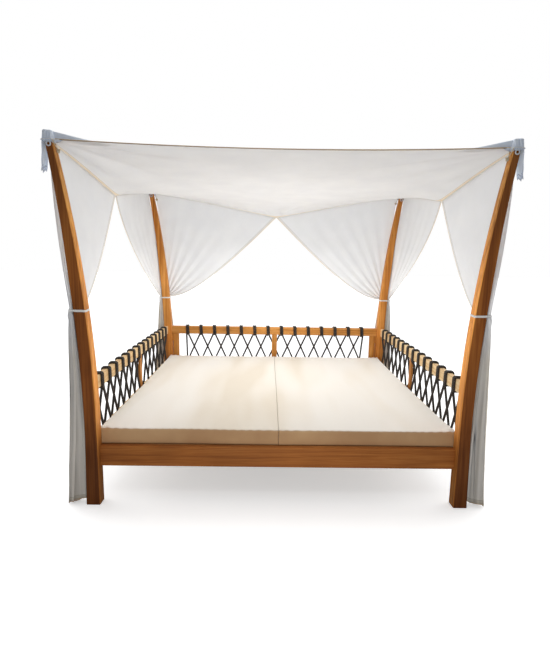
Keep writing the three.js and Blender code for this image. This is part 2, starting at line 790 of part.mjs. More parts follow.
// One curtain. Its own axes are a along the canopy's edge, n outward and z up, and u runs from
// the post (0) to the free edge (1). It falls from the edge in folds that close up at the tie,
// and below the tie its tail opens again down to the hem.
function curtainGeometry(curtain) {
  const bundleFold = (bundleDepth - clothThickness) / 2;
  const tieTop = curtain.tieHeight + tieHeight / 2 + tieRoom;
  const tieBottom = curtain.tieHeight - tieHeight / 2 - tieRoom;
  const bundleN = curtain.backing(tieTop) + clothGap + bundleDepth / 2;
  const columns = foldCount * foldSteps;
  const levels = [];
  for (let i = 0; i <= drapeSteps; i += 1) {
    const t = i / drapeSteps;
    const bulge = drapeBulge * Math.sin(Math.PI * t);
    levels.push({
      fold: bundleFold * t + bulge,
      point: (u) => {
        const top = curtain.top(u);
        const z = bezier(top.z, curtain.control(u).z, tieTop, t);
        const fallen = Math.min(1, (top.z - z) / (top.z - tieTop));
        const n = THREE.MathUtils.lerp(top.n, bundleN, fallen) + bulge;
        return { a: bezier(top.a, curtain.control(u).a, curtain.tie(u), t), n, z };
      },
    });
  }
  for (let i = 0; i <= tailSteps; i += 1) {
    const t = i / tailSteps;
    const z = THREE.MathUtils.lerp(tieBottom, hemHeight, t);
    const spread = THREE.MathUtils.lerp(bundleDepth, curtain.hemSpread, t ** (3 / 4));
    const n = i === 0 ? bundleN : curtain.backing(z) + clothGap + spread / 2;
    levels.push({
      fold: (spread - clothThickness) / 2,
      point: (u) => ({ a: THREE.MathUtils.lerp(curtain.tie(u), curtain.hem(u), t), n, z }),
    });
  }
  const face = (side) => levels.map(({ fold, point }) => {
    const width = Math.abs(point(1).a - point(0).a);
    return evenSteps(0, 1, columns).map((u) => {
      const { a, n, z } = point(u);
      const turn = 2 * Math.PI * foldCount * u;
      const slope = 2 * Math.PI * foldCount * fold * Math.cos(turn) / width;
      const thickness = clothThickness * Math.min(foldSlopeCap, Math.hypot(1, slope));
      return curtain.place(a, n + fold * Math.sin(turn) + side * thickness / 2, z);
    });
  });
  return slab(face(1), face(-1));
}

// A curtain from a side edge. end is -1 for the front one and 1 for the back one.
function sideCurtain(end, tieLevel, reach, dip) {
  const postY = end * (halfDepth - bundleInset);
  const fromY = end * (hoodInnerY - curtainHoodGap);
  const toY = apexY + end * apexGap;
  return {
    tieHeight: tieLevel,
    hemSpread: sideTailSpread,
    backing: postOuter,
    top: (u) => {
      const y = THREE.MathUtils.lerp(fromY, toY, u);
      const z = onStations(stationsY, sideEdgeZ, y) - clothThickness / 2 - clothGap;
      return { a: y, n: onStations(stationsY, sideEdgeX, y), z };
    },
    control: (u) => ({
      a: THREE.MathUtils.lerp(postY, reach, u),
      z: THREE.MathUtils.lerp((canopyTipHeight + tieLevel) / 2, dip, u),
    }),
    tie: (u) => postY - end * bundleWidth * u,
    hem: (u) => postY - end * sideTailWidth * u,
    place: (a, n, z) => new THREE.Vector3(n, a, z),
  };
}

// The right half of the back has one curtain, from the hood to the low middle of the edge
function backCurtain() {
  const tieX = postOuter(backTieHeight) - bundleInset;
  const fromX = hoodInnerX - curtainHoodGap;
  return {
    tieHeight: backTieHeight,
    hemSpread: backTailSpread,
    backing: () => halfDepth,
    top: (u) => {
      const x = THREE.MathUtils.lerp(fromX, apexGap, u);
      const z = onStations(stationsX, backEdgeZ, x) - clothThickness / 2 - clothGap;
      return { a: x, n: backEdgeY, z };
    },
    control: (u) => ({
      a: THREE.MathUtils.lerp(tieX, backDrapeReach, u),
      z: THREE.MathUtils.lerp((canopyTipHeight + backTieHeight) / 2, backDrapeDip, u),
    }),
    tie: (u) => tieX - bundleWidth * u,
    hem: (u) => tieX - backTailWidth * u,
    place: (a, n, z) => new THREE.Vector3(a, n, z),
  };
}

function addCurtains() {
  const front = curtainGeometry(sideCurtain(-1, frontTieHeight, -frontDrapeReach, frontDrapeDip));
  const rear = curtainGeometry(sideCurtain(1, backTieHeight, backSideDrapeReach, backSideDrapeDip));
  const back = curtainGeometry(backCurtain());
  for (const [name, sign] of [['left', -1], ['right', 1]]) {
    add(`curtain_${name}_front`, mirrored(front, sign, 1), cloth);
    add(`curtain_${name}_back`, mirrored(rear, sign, 1), cloth);
    add(`curtain_back_${name}`, mirrored(back, sign, 1), cloth);
  }
}

function roundedLoop(path, lowX, highX, lowY, highY, radius) {
  path.moveTo(highX, lowY + radius);
  path.absarc(highX - radius, highY - radius, radius, 0, Math.PI / 2, false);
  path.absarc(lowX + radius, highY - radius, radius, Math.PI / 2, Math.PI, false);
  path.absarc(lowX + radius, lowY + radius, radius, Math.PI, Math.PI * 3 / 2, false);
  path.absarc(highX - radius, lowY + radius, radius, Math.PI * 3 / 2, Math.PI * 2, false);
  return path;
}

// A strap round the right front post and what is bundled on its outer side and, on request, behind it
function tieGeometry(level, bundleBehind) {
  const bottom = level - tieHeight / 2;
  const lowX = postInner(bottom) - fitGap;
  const highX = postOuter(level + tieHeight / 2 + tieRoom) + clothGap + bundleDepth + fitGap;
  const lowY = -halfDepth - fitGap - (bundleBehind ? clothGap + bundleDepth : 0);
  const highY = -halfDepth + postDepthAt(bottom) + fitGap;
  const t = tieThickness;
  const strap = roundedLoop(new THREE.Shape(), lowX - t, highX + t, lowY - t, highY + t, tieCorner + t);
  strap.holes.push(roundedLoop(new THREE.Path(), lowX, highX, lowY, highY, tieCorner));
  const settings = { depth: tieHeight, bevelEnabled: false, curveSegments: 3 };
  const geometry = new THREE.ExtrudeGeometry(strap, settings);
  geometry.translate(0, 0, bottom);
  geometry.deleteAttribute('normal');
  geometry.deleteAttribute('uv');
  return mergeVertices(geometry);
}

function addTies() {
  const front = tieGeometry(frontTieHeight, false);
  const back = tieGeometry(backTieHeight, true);
  for (const [name, sign] of [['left', -1], ['right', 1]]) {
    add(`tie_front_${name}`, mirrored(front, sign, 1), tape);
    add(`tie_back_${name}`, mirrored(back, sign, -1), tape);
  }
}

addPostsAndHoods();
addBedFrame();
addCentreSupport();
addSlats();
addMattresses();
addPanels();
addCanopy();
addCurtains();
addTies();

// The curtain tails reach further behind the posts than the hoods do in front of them
const bounds = new THREE.Box3().setFromObject(daybed);
daybed.position.y = -(bounds.min.y + bounds.max.y) / 2;

export default daybed;
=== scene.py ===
# %% [markdown]
# # An outdoor daybed with a canopy
# The real object is a low wooden platform for two mattresses. Four corner posts bend outward like sabres,
# three sides have a low panel laced with cord, and a cloth canopy with tied curtains hangs between the
# tips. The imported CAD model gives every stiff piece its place. This lesson keeps the wood as it is and
# gives it grain, and builds the cloth, the cord and the mattresses again as soft things.

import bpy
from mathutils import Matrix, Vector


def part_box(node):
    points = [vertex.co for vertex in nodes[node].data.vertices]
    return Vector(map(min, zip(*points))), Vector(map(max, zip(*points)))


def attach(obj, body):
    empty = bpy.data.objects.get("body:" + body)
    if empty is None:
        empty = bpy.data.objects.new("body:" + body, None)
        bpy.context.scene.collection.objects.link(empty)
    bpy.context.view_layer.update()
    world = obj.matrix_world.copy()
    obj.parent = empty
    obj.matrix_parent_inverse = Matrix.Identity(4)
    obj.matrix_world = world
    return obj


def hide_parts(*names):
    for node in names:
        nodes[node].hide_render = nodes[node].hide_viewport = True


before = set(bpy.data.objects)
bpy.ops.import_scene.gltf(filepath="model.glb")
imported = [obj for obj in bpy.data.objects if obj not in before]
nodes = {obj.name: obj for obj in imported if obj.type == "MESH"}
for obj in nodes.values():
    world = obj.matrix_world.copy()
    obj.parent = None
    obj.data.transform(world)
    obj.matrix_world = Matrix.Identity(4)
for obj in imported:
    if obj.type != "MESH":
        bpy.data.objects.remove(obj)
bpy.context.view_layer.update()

# %% The other libraries
import math

import bpy
import numpy as np
from mathutils import Euler, Matrix, Vector, noise

bpy.ops.object.select_all(action="DESELECT")

# %% [markdown]
# ## The camera
# The photograph was taken from just in front of the bed, a little left of the middle and above the panels.
# A camera fitted to the posts, rails and mattress edges gives its place, its turn, its tilt and its angle
# of view. It is built from its own three axes, because that keeps the small roll of the picture.

# %% Camera
camera_place = Vector((-0.0737, -3.5047, 1.4052))
camera_turn, camera_tilt, camera_roll = 0.01208, 0.15997, 0.01598
picture_height, focal_pixels, shift_pixels = 660, 463.956, 2.46
sensor_width = 36

forward = Vector((
    math.sin(camera_turn) * math.cos(camera_tilt),
    math.cos(camera_turn) * math.cos(camera_tilt),
    -math.sin(camera_tilt),
))
level_right = Vector((math.cos(camera_turn), -math.sin(camera_turn), 0))
level_up = level_right.cross(forward)
right = level_right * math.cos(camera_roll) + level_up * math.sin(camera_roll)
up = level_up * math.cos(camera_roll) - level_right * math.sin(camera_roll)

bpy.ops.object.camera_add()
camera = bpy.context.object
camera.name = "camera"
camera.data.sensor_width = sensor_width
camera.data.lens = sensor_width * (focal_pixels / picture_height)
camera.data.shift_x = shift_pixels / picture_height
axes = Matrix((right, up, -forward)).transposed().to_4x4()
camera.matrix_world = Matrix.Translation(camera_place) @ axes
bpy.context.scene.camera = camera
print("lens", round(camera.data.lens, 2), "mm")

# %% [markdown]
# ## Light and floor
# The picture is high key: a white surround, cloth that glows, and darker wood where it faces the camera.
# So the surround is plain white to the camera, but the light that it gives is stronger from above and
# behind than from the front. Two broad soft lamps stand at the sides and a weaker one above. Two small
# ones in front, one low and one high, lift the front rail and the post tips. Daylight comes through the
# real thin cloth, so a lamp below the canopy shines down on the bed and one above the bed shines up at the
# cloth. The floor is pale and glows a little, so that it joins the surround, but it throws back less light
# than it shows.

# %% Node helpers


def joined(tree, kind, inputs=None, **settings):
    """Adds a node. Its inputs are values, or outputs of other nodes that are then linked."""
    made = tree.nodes.new("ShaderNode" + kind)
    for key, value in settings.items():
        setattr(made, key, value)
    for key, value in (inputs or {}).items():
        if isinstance(value, bpy.types.NodeSocket):
            tree.links.new(value, made.inputs[key])
        else:
            made.inputs[key].default_value = value
    return made


def worked(tree, operation, *values):
    """The result of a Math node on one or two values."""
    return joined(tree, "Math", dict(enumerate(values)), operation=operation).outputs[0]


def spread(tree, value, low, high, to_low=0, to_high=1):
    """A value between low and high, spread over another range."""
    return joined(tree, "MapRange", {"Value": value, 1: low, 2: high, 3: to_low, 4: to_high}).outputs[0]


def paint(red, green, blue):
    """A colour from screen values of 0 to 255, as the linear values that shaders use."""
    return (*[((v / 255 + 0.055) / 1.055) ** 2.4 if v > 10 else v / 3294.6 for v in (red, green, blue)], 1)


# %% Surround
world = bpy.data.worlds.new("white surround")
bpy.context.scene.world = world
world.use_nodes = True
tree = world.node_tree
tree.nodes.clear()
sky = joined(tree, "TexCoord").outputs["Generated"]
direction = joined(tree, "SeparateXYZ", {0: sky}).outputs
depth_light = spread(tree, direction["Y"], -0.3, 1, 0.04, 1.75)
height_light = spread(tree, direction["Z"], -0.2, 1, 0, 0.4)
strength = worked(tree, "ADD", depth_light, height_light)
lighting = joined(tree, "Background", {"Color": (0.97, 0.98, 1, 1), "Strength": strength}).outputs[0]
shown = joined(tree, "Background", {"Color": (1, 1, 1, 1), "Strength": 1.0}).outputs[0]
to_camera = joined(tree, "LightPath").outputs["Is Camera Ray"]
surround = joined(tree, "MixShader", {0: to_camera, 1: lighting, 2: shown}).outputs[0]
joined(tree, "OutputWorld", {"Surface": surround})
bpy.context.scene.view_settings.view_transform = "Standard"
print("surround:", world.name)

# %% Soft lights


def soft_light(name, place, aim, size, watts, tint=(1, 1, 1)):
    """A soft rectangle of light that the camera doesn't see."""
    bpy.ops.object.light_add(type="AREA", location=place)
    lamp = bpy.context.object
    lamp.name = name
    lamp.rotation_euler = (Vector(aim) - Vector(place)).to_track_quat("-Z", "Y").to_euler()
    lamp.data.shape = "RECTANGLE"
    lamp.data.size, lamp.data.size_y = size
    lamp.data.energy = watts
    lamp.data.color = tint
    lamp.visible_camera = False


for side in (-1, 1):
    soft_light(
        f"light_side_{side}", (4.2 * side, 0.7, 1.45), (-side, -0.6, 1.0), (2.6, 1.9), 52, (1, 0.99, 0.98))
soft_light("light_above", (0, 0.3, 3.4), (0, 0.3, 0), (1.7, 1.4), 16)
soft_light("light_front", (0, -2.7, 0.4), (0, -1, 0.33), (0.7, 0.4), 9, (1, 0.95, 0.88))
soft_light("light_high", (0, -2.3, 2.25), (0, -1, 1.9), (0.8, 0.5), 7)
soft_light("light_bed", (0, 0.1, 1.5), (0, 0.1, 0), (1.5, 1.3), 7, (1, 0.98, 0.94))
soft_light("light_canopy", (0, 0.2, 0.62), (0, 0.2, 2), (1.3, 1.1), 6.5, (1, 0.99, 0.97))

# %% Floor
bpy.ops.mesh.primitive_plane_add(size=60, location=(0, 0, -0.001))
floor = bpy.context.object
floor.name = "floor"
floor_paint = bpy.data.materials.new("pale floor")
floor_paint.use_nodes = True
tree = floor_paint.node_tree
tree.nodes.clear()
lit = joined(tree, "BsdfDiffuse", {"Color": (0.9, 0.9, 0.9, 1)}).outputs[0]
glow = joined(tree, "Emission", {"Color": (1, 1, 1, 1), "Strength": 0.45}).outputs[0]
seen = joined(tree, "AddShader", {0: lit, 1: glow}).outputs[0]
dull = joined(tree, "BsdfDiffuse", {"Color": (0.42, 0.42, 0.42, 1)}).outputs[0]
to_camera = joined(tree, "LightPath").outputs["Is Camera Ray"]
surface = joined(tree, "MixShader", {0: to_camera, 1: dull, 2: seen}).outputs[0]
joined(tree, "OutputMaterial", {"Surface": surface})
floor.data.materials.append(floor_paint)
print("floor:", floor.name)

# %% [markdown]
# ## Wood
# The timber is an oiled hardwood, orange brown. Its tones are set piece by piece: darker on the front posts
# and the front bed rail, a painted shade, and lighter on the back posts, the back panel and the other rails,
# a painted light. Grain runs along each board, so every board has its own copy of the finish, stretched
# along its long side and moved to another part of the pattern. Broad streaks give the colour, thin fibres
# the bump, and slow patches wear.

# %% Wood finish


def ramp(tree, value, stops):
    """A colour ramp through (place, colour) stops."""
    made = joined(tree, "ValToRGB", {0: value})
    elements = made.color_ramp.elements
    while len(elements) < len(stops):
        elements.new(0.5)
    for element, (place, tone) in zip(elements, stops):
        element.position = place
        element.color = tone
    return made.outputs[0]


def mixed(tree, share, first, second, blend="MIX"):
    """Two colours mixed by a share."""
    inputs = {0: share, 6: first, 7: second}
    return joined(tree, "Mix", inputs, data_type="RGBA", blend_type=blend).outputs[2]


def clouds(tree, place, scale, detail, distortion=0):
    """Soft noise over the places of a piece."""
    inputs = {0: place, "Scale": scale, "Detail": detail, "Distortion": distortion}
    return joined(tree, "TexNoise", inputs).outputs[0]


def bumped(tree, height, strength, distance, finer=None):
    """The direction of a surface after a bump, over a finer bump if there is one."""
    inputs = {"Strength": strength, "Distance": distance, "Height": height}
    if finer is not None:
        inputs["Normal"] = finer
    return joined(tree, "Bump", inputs).outputs[0]


def new_finish(name, roughness, values=None):
    """A new material with its node tree and its shader. values are set on the shader's own sockets."""
    finish = bpy.data.materials.new(name)
    finish.use_nodes = True
    shader = finish.node_tree.nodes["Principled BSDF"]
    for socket, value in {"Roughness": roughness, **(values or {})}.items():
        shader.inputs[socket].default_value = value
    return finish, finish.node_tree, shader


def growth_rings(tree, place, along, centre):
    """Rings round a line that leans through the board, so its faces show long arches of grain."""
    ring_squash, ring_lean, ring_aside = 0.08, 0.36, 0.045
    squash = [1.0, 1.0, 1.0]
    squash[along] = ring_squash
    lean = [0.0, 0.0, 0.0]
    lean[(along + 1) % 3] = ring_lean
    middle = Vector([c * k for c, k in zip(centre, squash)])
    middle.rotate(Euler(lean))
    aside = Vector([ring_aside] * 3) - middle
    leaning = joined(tree, "Mapping", {0: place, 1: aside, 2: lean, 3: squash}).outputs[0]
    inputs = {0: leaning, "Scale": 24, "Distortion": 4.5, "Detail": 3, "Detail Scale": 1.4}
    return joined(
        tree, "TexWave", inputs, wave_type="RINGS", rings_direction="XYZ"[along]).outputs["Fac"]


def wood_finish(name, along, tones, centre, shift):
    """Oiled timber with its grain along one axis. tones are the dark, middle and light colours."""
    finish, tree, shader = new_finish(name, 0.55, {"Specular IOR Level": 0.2})
    place = joined(tree, "TexCoord").outputs["Object"]

    def drawn_out(across, lengthwise):
        stretch = [across] * 3
        stretch[along] = lengthwise
        return joined(tree, "Mapping", {0: place, 1: shift, 3: stretch}).outputs[0]

    streaks = clouds(tree, drawn_out(24.0, 0.9), 1.5, 5, 0.9)
    fibres = clouds(tree, drawn_out(150.0, 4.0), 2.2, 3)
    ring_part = spread(tree, growth_rings(tree, place, along, centre), 0, 1, -0.05, 0.04)
    dark, middle, light = tones
    colour = ramp(tree, worked(tree, "ADD", streaks, ring_part), [(0.28, dark), (0.5, middle), (0.74, light)])
    fibre_tone = ramp(tree, fibres, [(0.36, (0.78, 0.72, 0.68, 1)), (0.55, (1, 1, 1, 1))])
    colour = mixed(tree, 0.5, colour, fibre_tone, "MULTIPLY")
    patches = clouds(tree, place, 2.3, 2)
    wear = ramp(tree, patches, [(0.35, (0.8, 0.77, 0.75, 1)), (0.65, (1.08, 1.06, 1.02, 1))])
    colour = mixed(tree, 0.8, colour, wear, "MULTIPLY")
    tree.links.new(colour, shader.inputs["Base Color"])
    tree.links.new(spread(tree, fibres, 0.3, 0.7, 0.68, 0.48), shader.inputs["Roughness"])
    tree.links.new(bumped(tree, fibres, 0.3, 0.001), shader.inputs["Normal"])
    return finish


# %% Wood on the CAD nodes
# The same wood in lit and shaded copies: the darker tones of the front posts and the front bed rail are a
# painted shade, and the lighter ones of the back posts, the back panel and the other rails are a painted
# light.
lit_and_shaded_tones = {
    "post_front": (paint(126, 70, 28), paint(156, 92, 38), paint(182, 116, 54)),
    "post_back": (paint(186, 112, 48), paint(222, 148, 70), paint(242, 176, 98)),
    "bed_rail_front": (paint(146, 86, 38), paint(168, 103, 47), paint(184, 120, 60)),
    "back_panel": (paint(184, 118, 54), paint(216, 150, 76), paint(236, 176, 104)),
    "rail": (paint(224, 184, 130), paint(242, 212, 164), paint(250, 228, 188)),
    "stile": (paint(160, 100, 46), paint(192, 128, 62), paint(214, 154, 88)),
    "": (paint(158, 110, 62), paint(200, 150, 94), paint(224, 182, 128)),
}
cloth_words = ("curtain", "canopy", "hood", "tie", "mattress")
board_shift = (1.7, -0.9, 2.3)

boards = [n for n in sorted(nodes) if not n.startswith(cloth_words) and not n.endswith("lacing")]
for board, name in enumerate(boards):
    low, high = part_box(name)
    size = high - low
    along = max(range(3), key=lambda axis: size[axis])
    tones = next(lit_and_shaded_tones[words] for words in lit_and_shaded_tones if words in name)
    shift = [step * board for step in board_shift]
    finish = wood_finish(f"wood_{name}", along, tones, (low + high) / 2, shift)
    nodes[name].data.materials.clear()
    nodes[name].data.materials.append(finish)
print("boards with grain:", len(boards))

# %% [markdown]
# ## Where the posts are
# Much of the cloth leans on the curved posts. Instead of a second copy of their curve, its numbers are
# read from the right front post's own mesh: for every height, the inner face, the outer face and the
# depth.

# %% Post profile
post_front, post_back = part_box("post_front_right"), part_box("post_back_right")
half_depth = (post_back[1].y - post_front[0].y) / 2
middle_y = (post_back[1].y + post_front[0].y) / 2
post_height = post_front[1].z

corners = {}
for vertex in nodes["post_front_right"].data.vertices:
    corners.setdefault(round(vertex.co.z, 4), []).append(vertex.co)
levels = sorted(corners)
inner_line = [min(c.x for c in corners[z]) for z in levels]
outer_line = [max(c.x for c in corners[z]) for z in levels]
depth_line = [max(c.y for c in corners[z]) - min(c.y for c in corners[z]) for z in levels]


def post_inner(z):
    return np.interp(z, levels, inner_line)


def post_outer(z):
    return np.interp(z, levels, outer_line)


def post_depth(z):
    return np.interp(z, levels, depth_line)


print("post tip", post_height, "inner", post_inner(post_height), "outer", post_outer(post_height))

# %% [markdown]
# ## Painted light on the front posts
# The front posts get darker toward the ground and darker and bluer near the tip, and their inner faces
# get a painted light, several times brighter and more golden than the rest of the post. The inner face is
# found by its place: at every height it lies on the line that was just read from the mesh, so a ramp over
# the height can hold that line.

# %% Front posts: painted light on the inner faces, tone by height
lit_face_from, lit_face_to = 0.0022, 0.0042
painted_light_gain = (2.8, 3.6, 4.2, 1)
for name in ("post_front_left", "post_front_right"):
    tree = nodes[name].data.materials[0].node_tree
    base = tree.nodes["Principled BSDF"].inputs["Base Color"]
    colour = base.links[0].from_socket
    place = joined(tree, "SeparateXYZ", {0: joined(tree, "TexCoord").outputs["Object"]})
    rise = worked(tree, "MULTIPLY", place.outputs["Z"], 1 / post_height)
    stops = np.linspace(0, 1, 16)
    half_inner = ramp(tree, rise, [(t, [float(post_inner(t * post_height)) / 2] * 3 + [1]) for t in stops])
    inner_at = worked(tree, "MULTIPLY", half_inner, 2)
    from_inner = worked(tree, "SUBTRACT", worked(tree, "ABSOLUTE", place.outputs["X"]), inner_at)
    # Painted light: within a few millimetres of the inner line the colour is multiplied several times, as if
    # lit from inside the bed.
    painted_light_share = spread(tree, from_inner, lit_face_from, lit_face_to, 1, 0)
    painted_lit_colour = mixed(tree, 1.0, colour, painted_light_gain, "MULTIPLY")
    colour = mixed(tree, painted_light_share, colour, painted_lit_colour)
    # Darker toward the ground, and darker and bluer near the tip.
    height_tone = ramp(tree, rise, [
        (0.0, (0.42, 0.38, 0.36, 1)), (0.17, (0.5, 0.46, 0.43, 1)), (0.26, (0.85, 0.82, 0.8, 1)),
        (0.6, (1, 1, 1, 1)), (0.9, (0.7, 0.74, 0.82, 1))])
    tree.links.new(mixed(tree, 1.0, colour, height_tone, "MULTIPLY"), base)
print("front posts toned by height, inner faces painted lit")

# %% [markdown]
# ## A way to make cloth
# A sheet is easiest to think of as a grid of points in the middle of the cloth. This helper gives such a
# grid its two faces, closes the rim all round, writes a UV map in metres for the weave, and keeps each
# point's distance from the hemmed edge in an attribute, so that one finish can draw the hem on any piece.

# %% Sheet helper


def finished(name, points, faces, uv, finish, by_corner=False, **measures):
    """A smooth mesh object. uv goes by point or by face corner, and measures become attributes."""
    mesh = bpy.data.meshes.new(name)
    mesh.from_pydata([tuple(p) for p in points], [], [tuple(f) for f in faces])
    uv = np.asarray(uv, np.float32)
    if not by_corner:
        corner = np.zeros(len(mesh.loops), np.int32)
        mesh.loops.foreach_get("vertex_index", corner)
        uv = uv[corner]
    mesh.uv_layers.new(name="UVMap").data.foreach_set("uv", uv.ravel())
    for title, values in measures.items():
        attribute = mesh.attributes.new(title, "FLOAT", "POINT")
        attribute.data.foreach_set("value", np.asarray(values, np.float32))
    mesh.validate()
    mesh.polygons.foreach_set("use_smooth", [True] * len(mesh.polygons))
    mesh.materials.append(finish)
    piece = bpy.data.objects.new(name, mesh)
    bpy.context.scene.collection.objects.link(piece)
    return piece


def surface_normals(grid):
    """The direction that the cloth faces at each point of a grid."""
    along = np.gradient(grid, axis=0)
    across = np.gradient(grid, axis=1)
    normals = np.cross(along, across)
    return normals / np.linalg.norm(normals, axis=2, keepdims=True)


def cloth_piece(name, grid, thickness, uv, edge_gap, finish, keep=None):
    """A closed sheet round a grid of middle points. keep says which of the grid's cells are cloth."""
    rows, columns = grid.shape[:2]
    normals = surface_normals(grid)
    half = thickness / 2
    points = np.concatenate([(grid + side * half * normals).reshape(-1, 3) for side in (1, -1)])
    behind = rows * columns
    keep = np.ones((rows - 1, columns - 1), bool) if keep is None else keep
    faces = []
    sides = {}
    for i, j in zip(*np.nonzero(keep)):
        a = i * columns + j
        ring = (a, a + columns, a + columns + 1, a + 1)
        faces.append(ring)
        faces.append(tuple(corner + behind for corner in reversed(ring)))
        for start, end in zip(ring, ring[1:] + ring[:1]):
            if (end, start) in sides:
                del sides[(end, start)]
            else:
                sides[(start, end)] = True
    faces += [(end, start, start + behind, end + behind) for start, end in sides]
    used = np.unique(np.concatenate([np.ravel(face) for face in faces]))
    index = np.full(len(points), -1)
    index[used] = np.arange(len(used))
    faces = [tuple(index[list(face)]) for face in faces]
    flat_uv = np.concatenate([uv.reshape(-1, 2)] * 2)[used]
    gaps = np.concatenate([edge_gap.ravel()] * 2)[used]
    return finished(name, points[used], faces, flat_uv, finish, edge_gap=gaps)


def cloth_area(grid):
    """The area of a grid of points, in square metres."""
    first = grid[1:, :-1] - grid[:-1, :-1]
    second = grid[:-1, 1:] - grid[:-1, :-1]
    third = grid[1:, :-1] - grid[1:, 1:]
    fourth = grid[:-1, 1:] - grid[1:, 1:]
    halves = [np.linalg.norm(np.cross(a, b), axis=2) for a, b in ((first, second), (third, fourth))]
    return float((halves[0] + halves[1]).sum() / 2)


# %% [markdown]
# ## Cloth finishes
# The canopy and curtains are one off-white cloth, thin enough to let light through, so its finish has some
# scattering under the surface. Along each hem a band of warmer tape shows, with a line of stitches. Below
# the ties the curtains hang in tight folds; there the cloth gets a warmer tone, and a painted shade darkens
# its creases in streaks along the cloth. The ties are a woven white tape. The weave itself is a fine bump,
# drawn on the sheet's own UV map.

# %% Cloth finish
edge_width, stitch_share, stitch_width = 0.0045, 0.88, 0.0009
creased_below, plain_above = 0.85, 1.1


def weave(tree, uv, scale):
    """The height of crossed threads."""
    threads = [
        joined(tree, "TexWave", {0: uv, "Scale": scale}, bands_direction=way).outputs["Fac"]
        for way in ("X", "Y")]
    return worked(tree, "ADD", *threads)


def shaded(tone, share):
    return [c * share for c in tone[:3]] + [1]


def cloth_finish(name, tone, hem_tone, hem_width, edge_tone, scatter, low_tone=None):
    """Thin woven cloth. low_tone is the tone of the hanging tails between their creases."""
    finish, tree, shader = new_finish(name, 0.92, {
        "Sheen Weight": 0.1, "Specular IOR Level": 0.2, "Subsurface Weight": scatter,
        "Subsurface Radius": (1, 0.98, 0.92), "Subsurface Scale": 0.006})
    uv = joined(tree, "UVMap", uv_map="UVMap").outputs[0]
    place = joined(tree, "TexCoord").outputs["Object"]
    patches = clouds(tree, place, 5.5, 3)
    cast = ramp(tree, patches, [(0.3, (0.94, 0.94, 0.95, 1)), (0.7, (1, 1, 1, 1))])
    colour = mixed(tree, 1.0, tone, cast, "MULTIPLY")
    gap = joined(tree, "Attribute", attribute_name="edge_gap").outputs["Fac"]
    colour = mixed(tree, worked(tree, "LESS_THAN", gap, hem_width), colour, hem_tone)
    colour = mixed(tree, worked(tree, "LESS_THAN", gap, edge_width), colour, edge_tone)
    seam = worked(tree, "ABSOLUTE", worked(tree, "SUBTRACT", gap, hem_width * stitch_share))
    colour = mixed(tree, worked(tree, "LESS_THAN", seam, stitch_width), colour, shaded(hem_tone, 0.6))
    # Below the ties: a warmer tone, and darker streaks along the cloth that are a painted shade of the fold
    # creases.
    if low_tone:
        level = joined(tree, "SeparateXYZ", {0: place}).outputs["Z"]
        low = spread(tree, level, creased_below, plain_above, 1, 0)
        hanging = joined(tree, "Mapping", {0: uv, 3: (46, 0.9, 1)}).outputs[0]
        creases = clouds(tree, hanging, 1, 2)
        painted_crease_shade = ramp(tree, creases, [(0.36, shaded(low_tone, 0.66)), (0.6, low_tone)])
        colour = mixed(tree, low, colour, painted_crease_shade, "MULTIPLY")
    tree.links.new(colour, shader.inputs["Base Color"])
    tree.links.new(bumped(tree, weave(tree, uv, 200), 0.18, 0.0004), shader.inputs["Normal"])
    return finish


tan = paint(216, 190, 158)
canopy_cloth = cloth_finish(
    "canopy cloth", paint(229, 230, 232), paint(232, 219, 202), 0.018, paint(228, 208, 182), 1.0)
curtain_cloth = cloth_finish(
    "curtain cloth", paint(230, 232, 235), paint(216, 216, 215), 0.028, tan, 1.0, (1, 0.92, 0.81, 1))
# The hood is the canopy's own cloth; its bluer, slightly darker tone is a painted shade.
hood_cloth_painted_shade = cloth_finish(
    "hood cloth with painted bluish shade", paint(214, 224, 240), paint(202, 212, 230), 0.010, paint(184, 192, 206), 1.0)
tie_tape = cloth_finish(
    "tie tape", paint(240, 240, 238), paint(232, 230, 226), 0.0, paint(226, 224, 220), 0.1)
print("cloth finishes:", [c.name for c in (canopy_cloth, curtain_cloth, hood_cloth_painted_shade, tie_tape)])

# %% [markdown]
# ## The canopy sheet
# The canopy is one sheet between four post tips. Its front edge is almost straight, while the sides and
# the back sag deep, each to one low point. The sheet between the edges settles like a stretched skin:
# every point moves to the mean height of its neighbours. Pull wrinkles then run in from the corners.

# %% Canopy edges
hood_drop, hood_wall = 0.043, 0.008
hood_bottom = post_height - hood_drop
hood_inner_x = float(post_inner(hood_bottom)) - hood_wall
hood_inner_y = half_depth - float(post_depth(hood_bottom)) - hood_wall
tip_height = post_height - 0.026
front_sag, side_sag, back_sag, sheet_sag = 0.027, 0.158, 0.203, 0.014
corner_x = 1.196
side_waist = 0.034
apex_y = -0.075
front_edge_y, back_edge_y = -(half_depth - 0.012), half_depth + 0.005
edge_bend = 1.15


def side_share(y):
    ahead = (apex_y - y) / (apex_y + hood_inner_y)
    rear = (y - apex_y) / (hood_inner_y - apex_y)
    return np.clip(np.where(y < apex_y, ahead, rear), 0, 1)


def side_edge_x(y):
    return corner_x - side_waist * (1 - side_share(y))


def side_edge_z(y):
    return tip_height - side_sag * (1 - side_share(y)) ** edge_bend


def cross_share(x):
    return np.clip(np.abs(x) / hood_inner_x, 0, 1)


def front_edge_z(x):
    return tip_height - front_sag * (1 - cross_share(x) ** 2)


def back_edge_z(x):
    return tip_height - back_sag * (1 - cross_share(x)) ** edge_bend


# %% Canopy grid
hem_steps = np.array([0, 0.003, 0.0098, 0.0122, 0.018, 0.03])
closest_lines = 0.0008
sheet_columns, sheet_rows, settling_rounds = 97, 89, 9000


def stations(low, high, inner_low, inner_high, count):
    """Places along one side of the sheet: close together at the hems, and exact at the hoods."""
    inner = np.linspace(inner_low, inner_high, count)
    hems = np.concatenate([low + hem_steps, high - hem_steps])
    places = np.unique(np.round(np.concatenate([inner, hems]), 5))
    return places[np.concatenate([[True], np.diff(places) > closest_lines])]


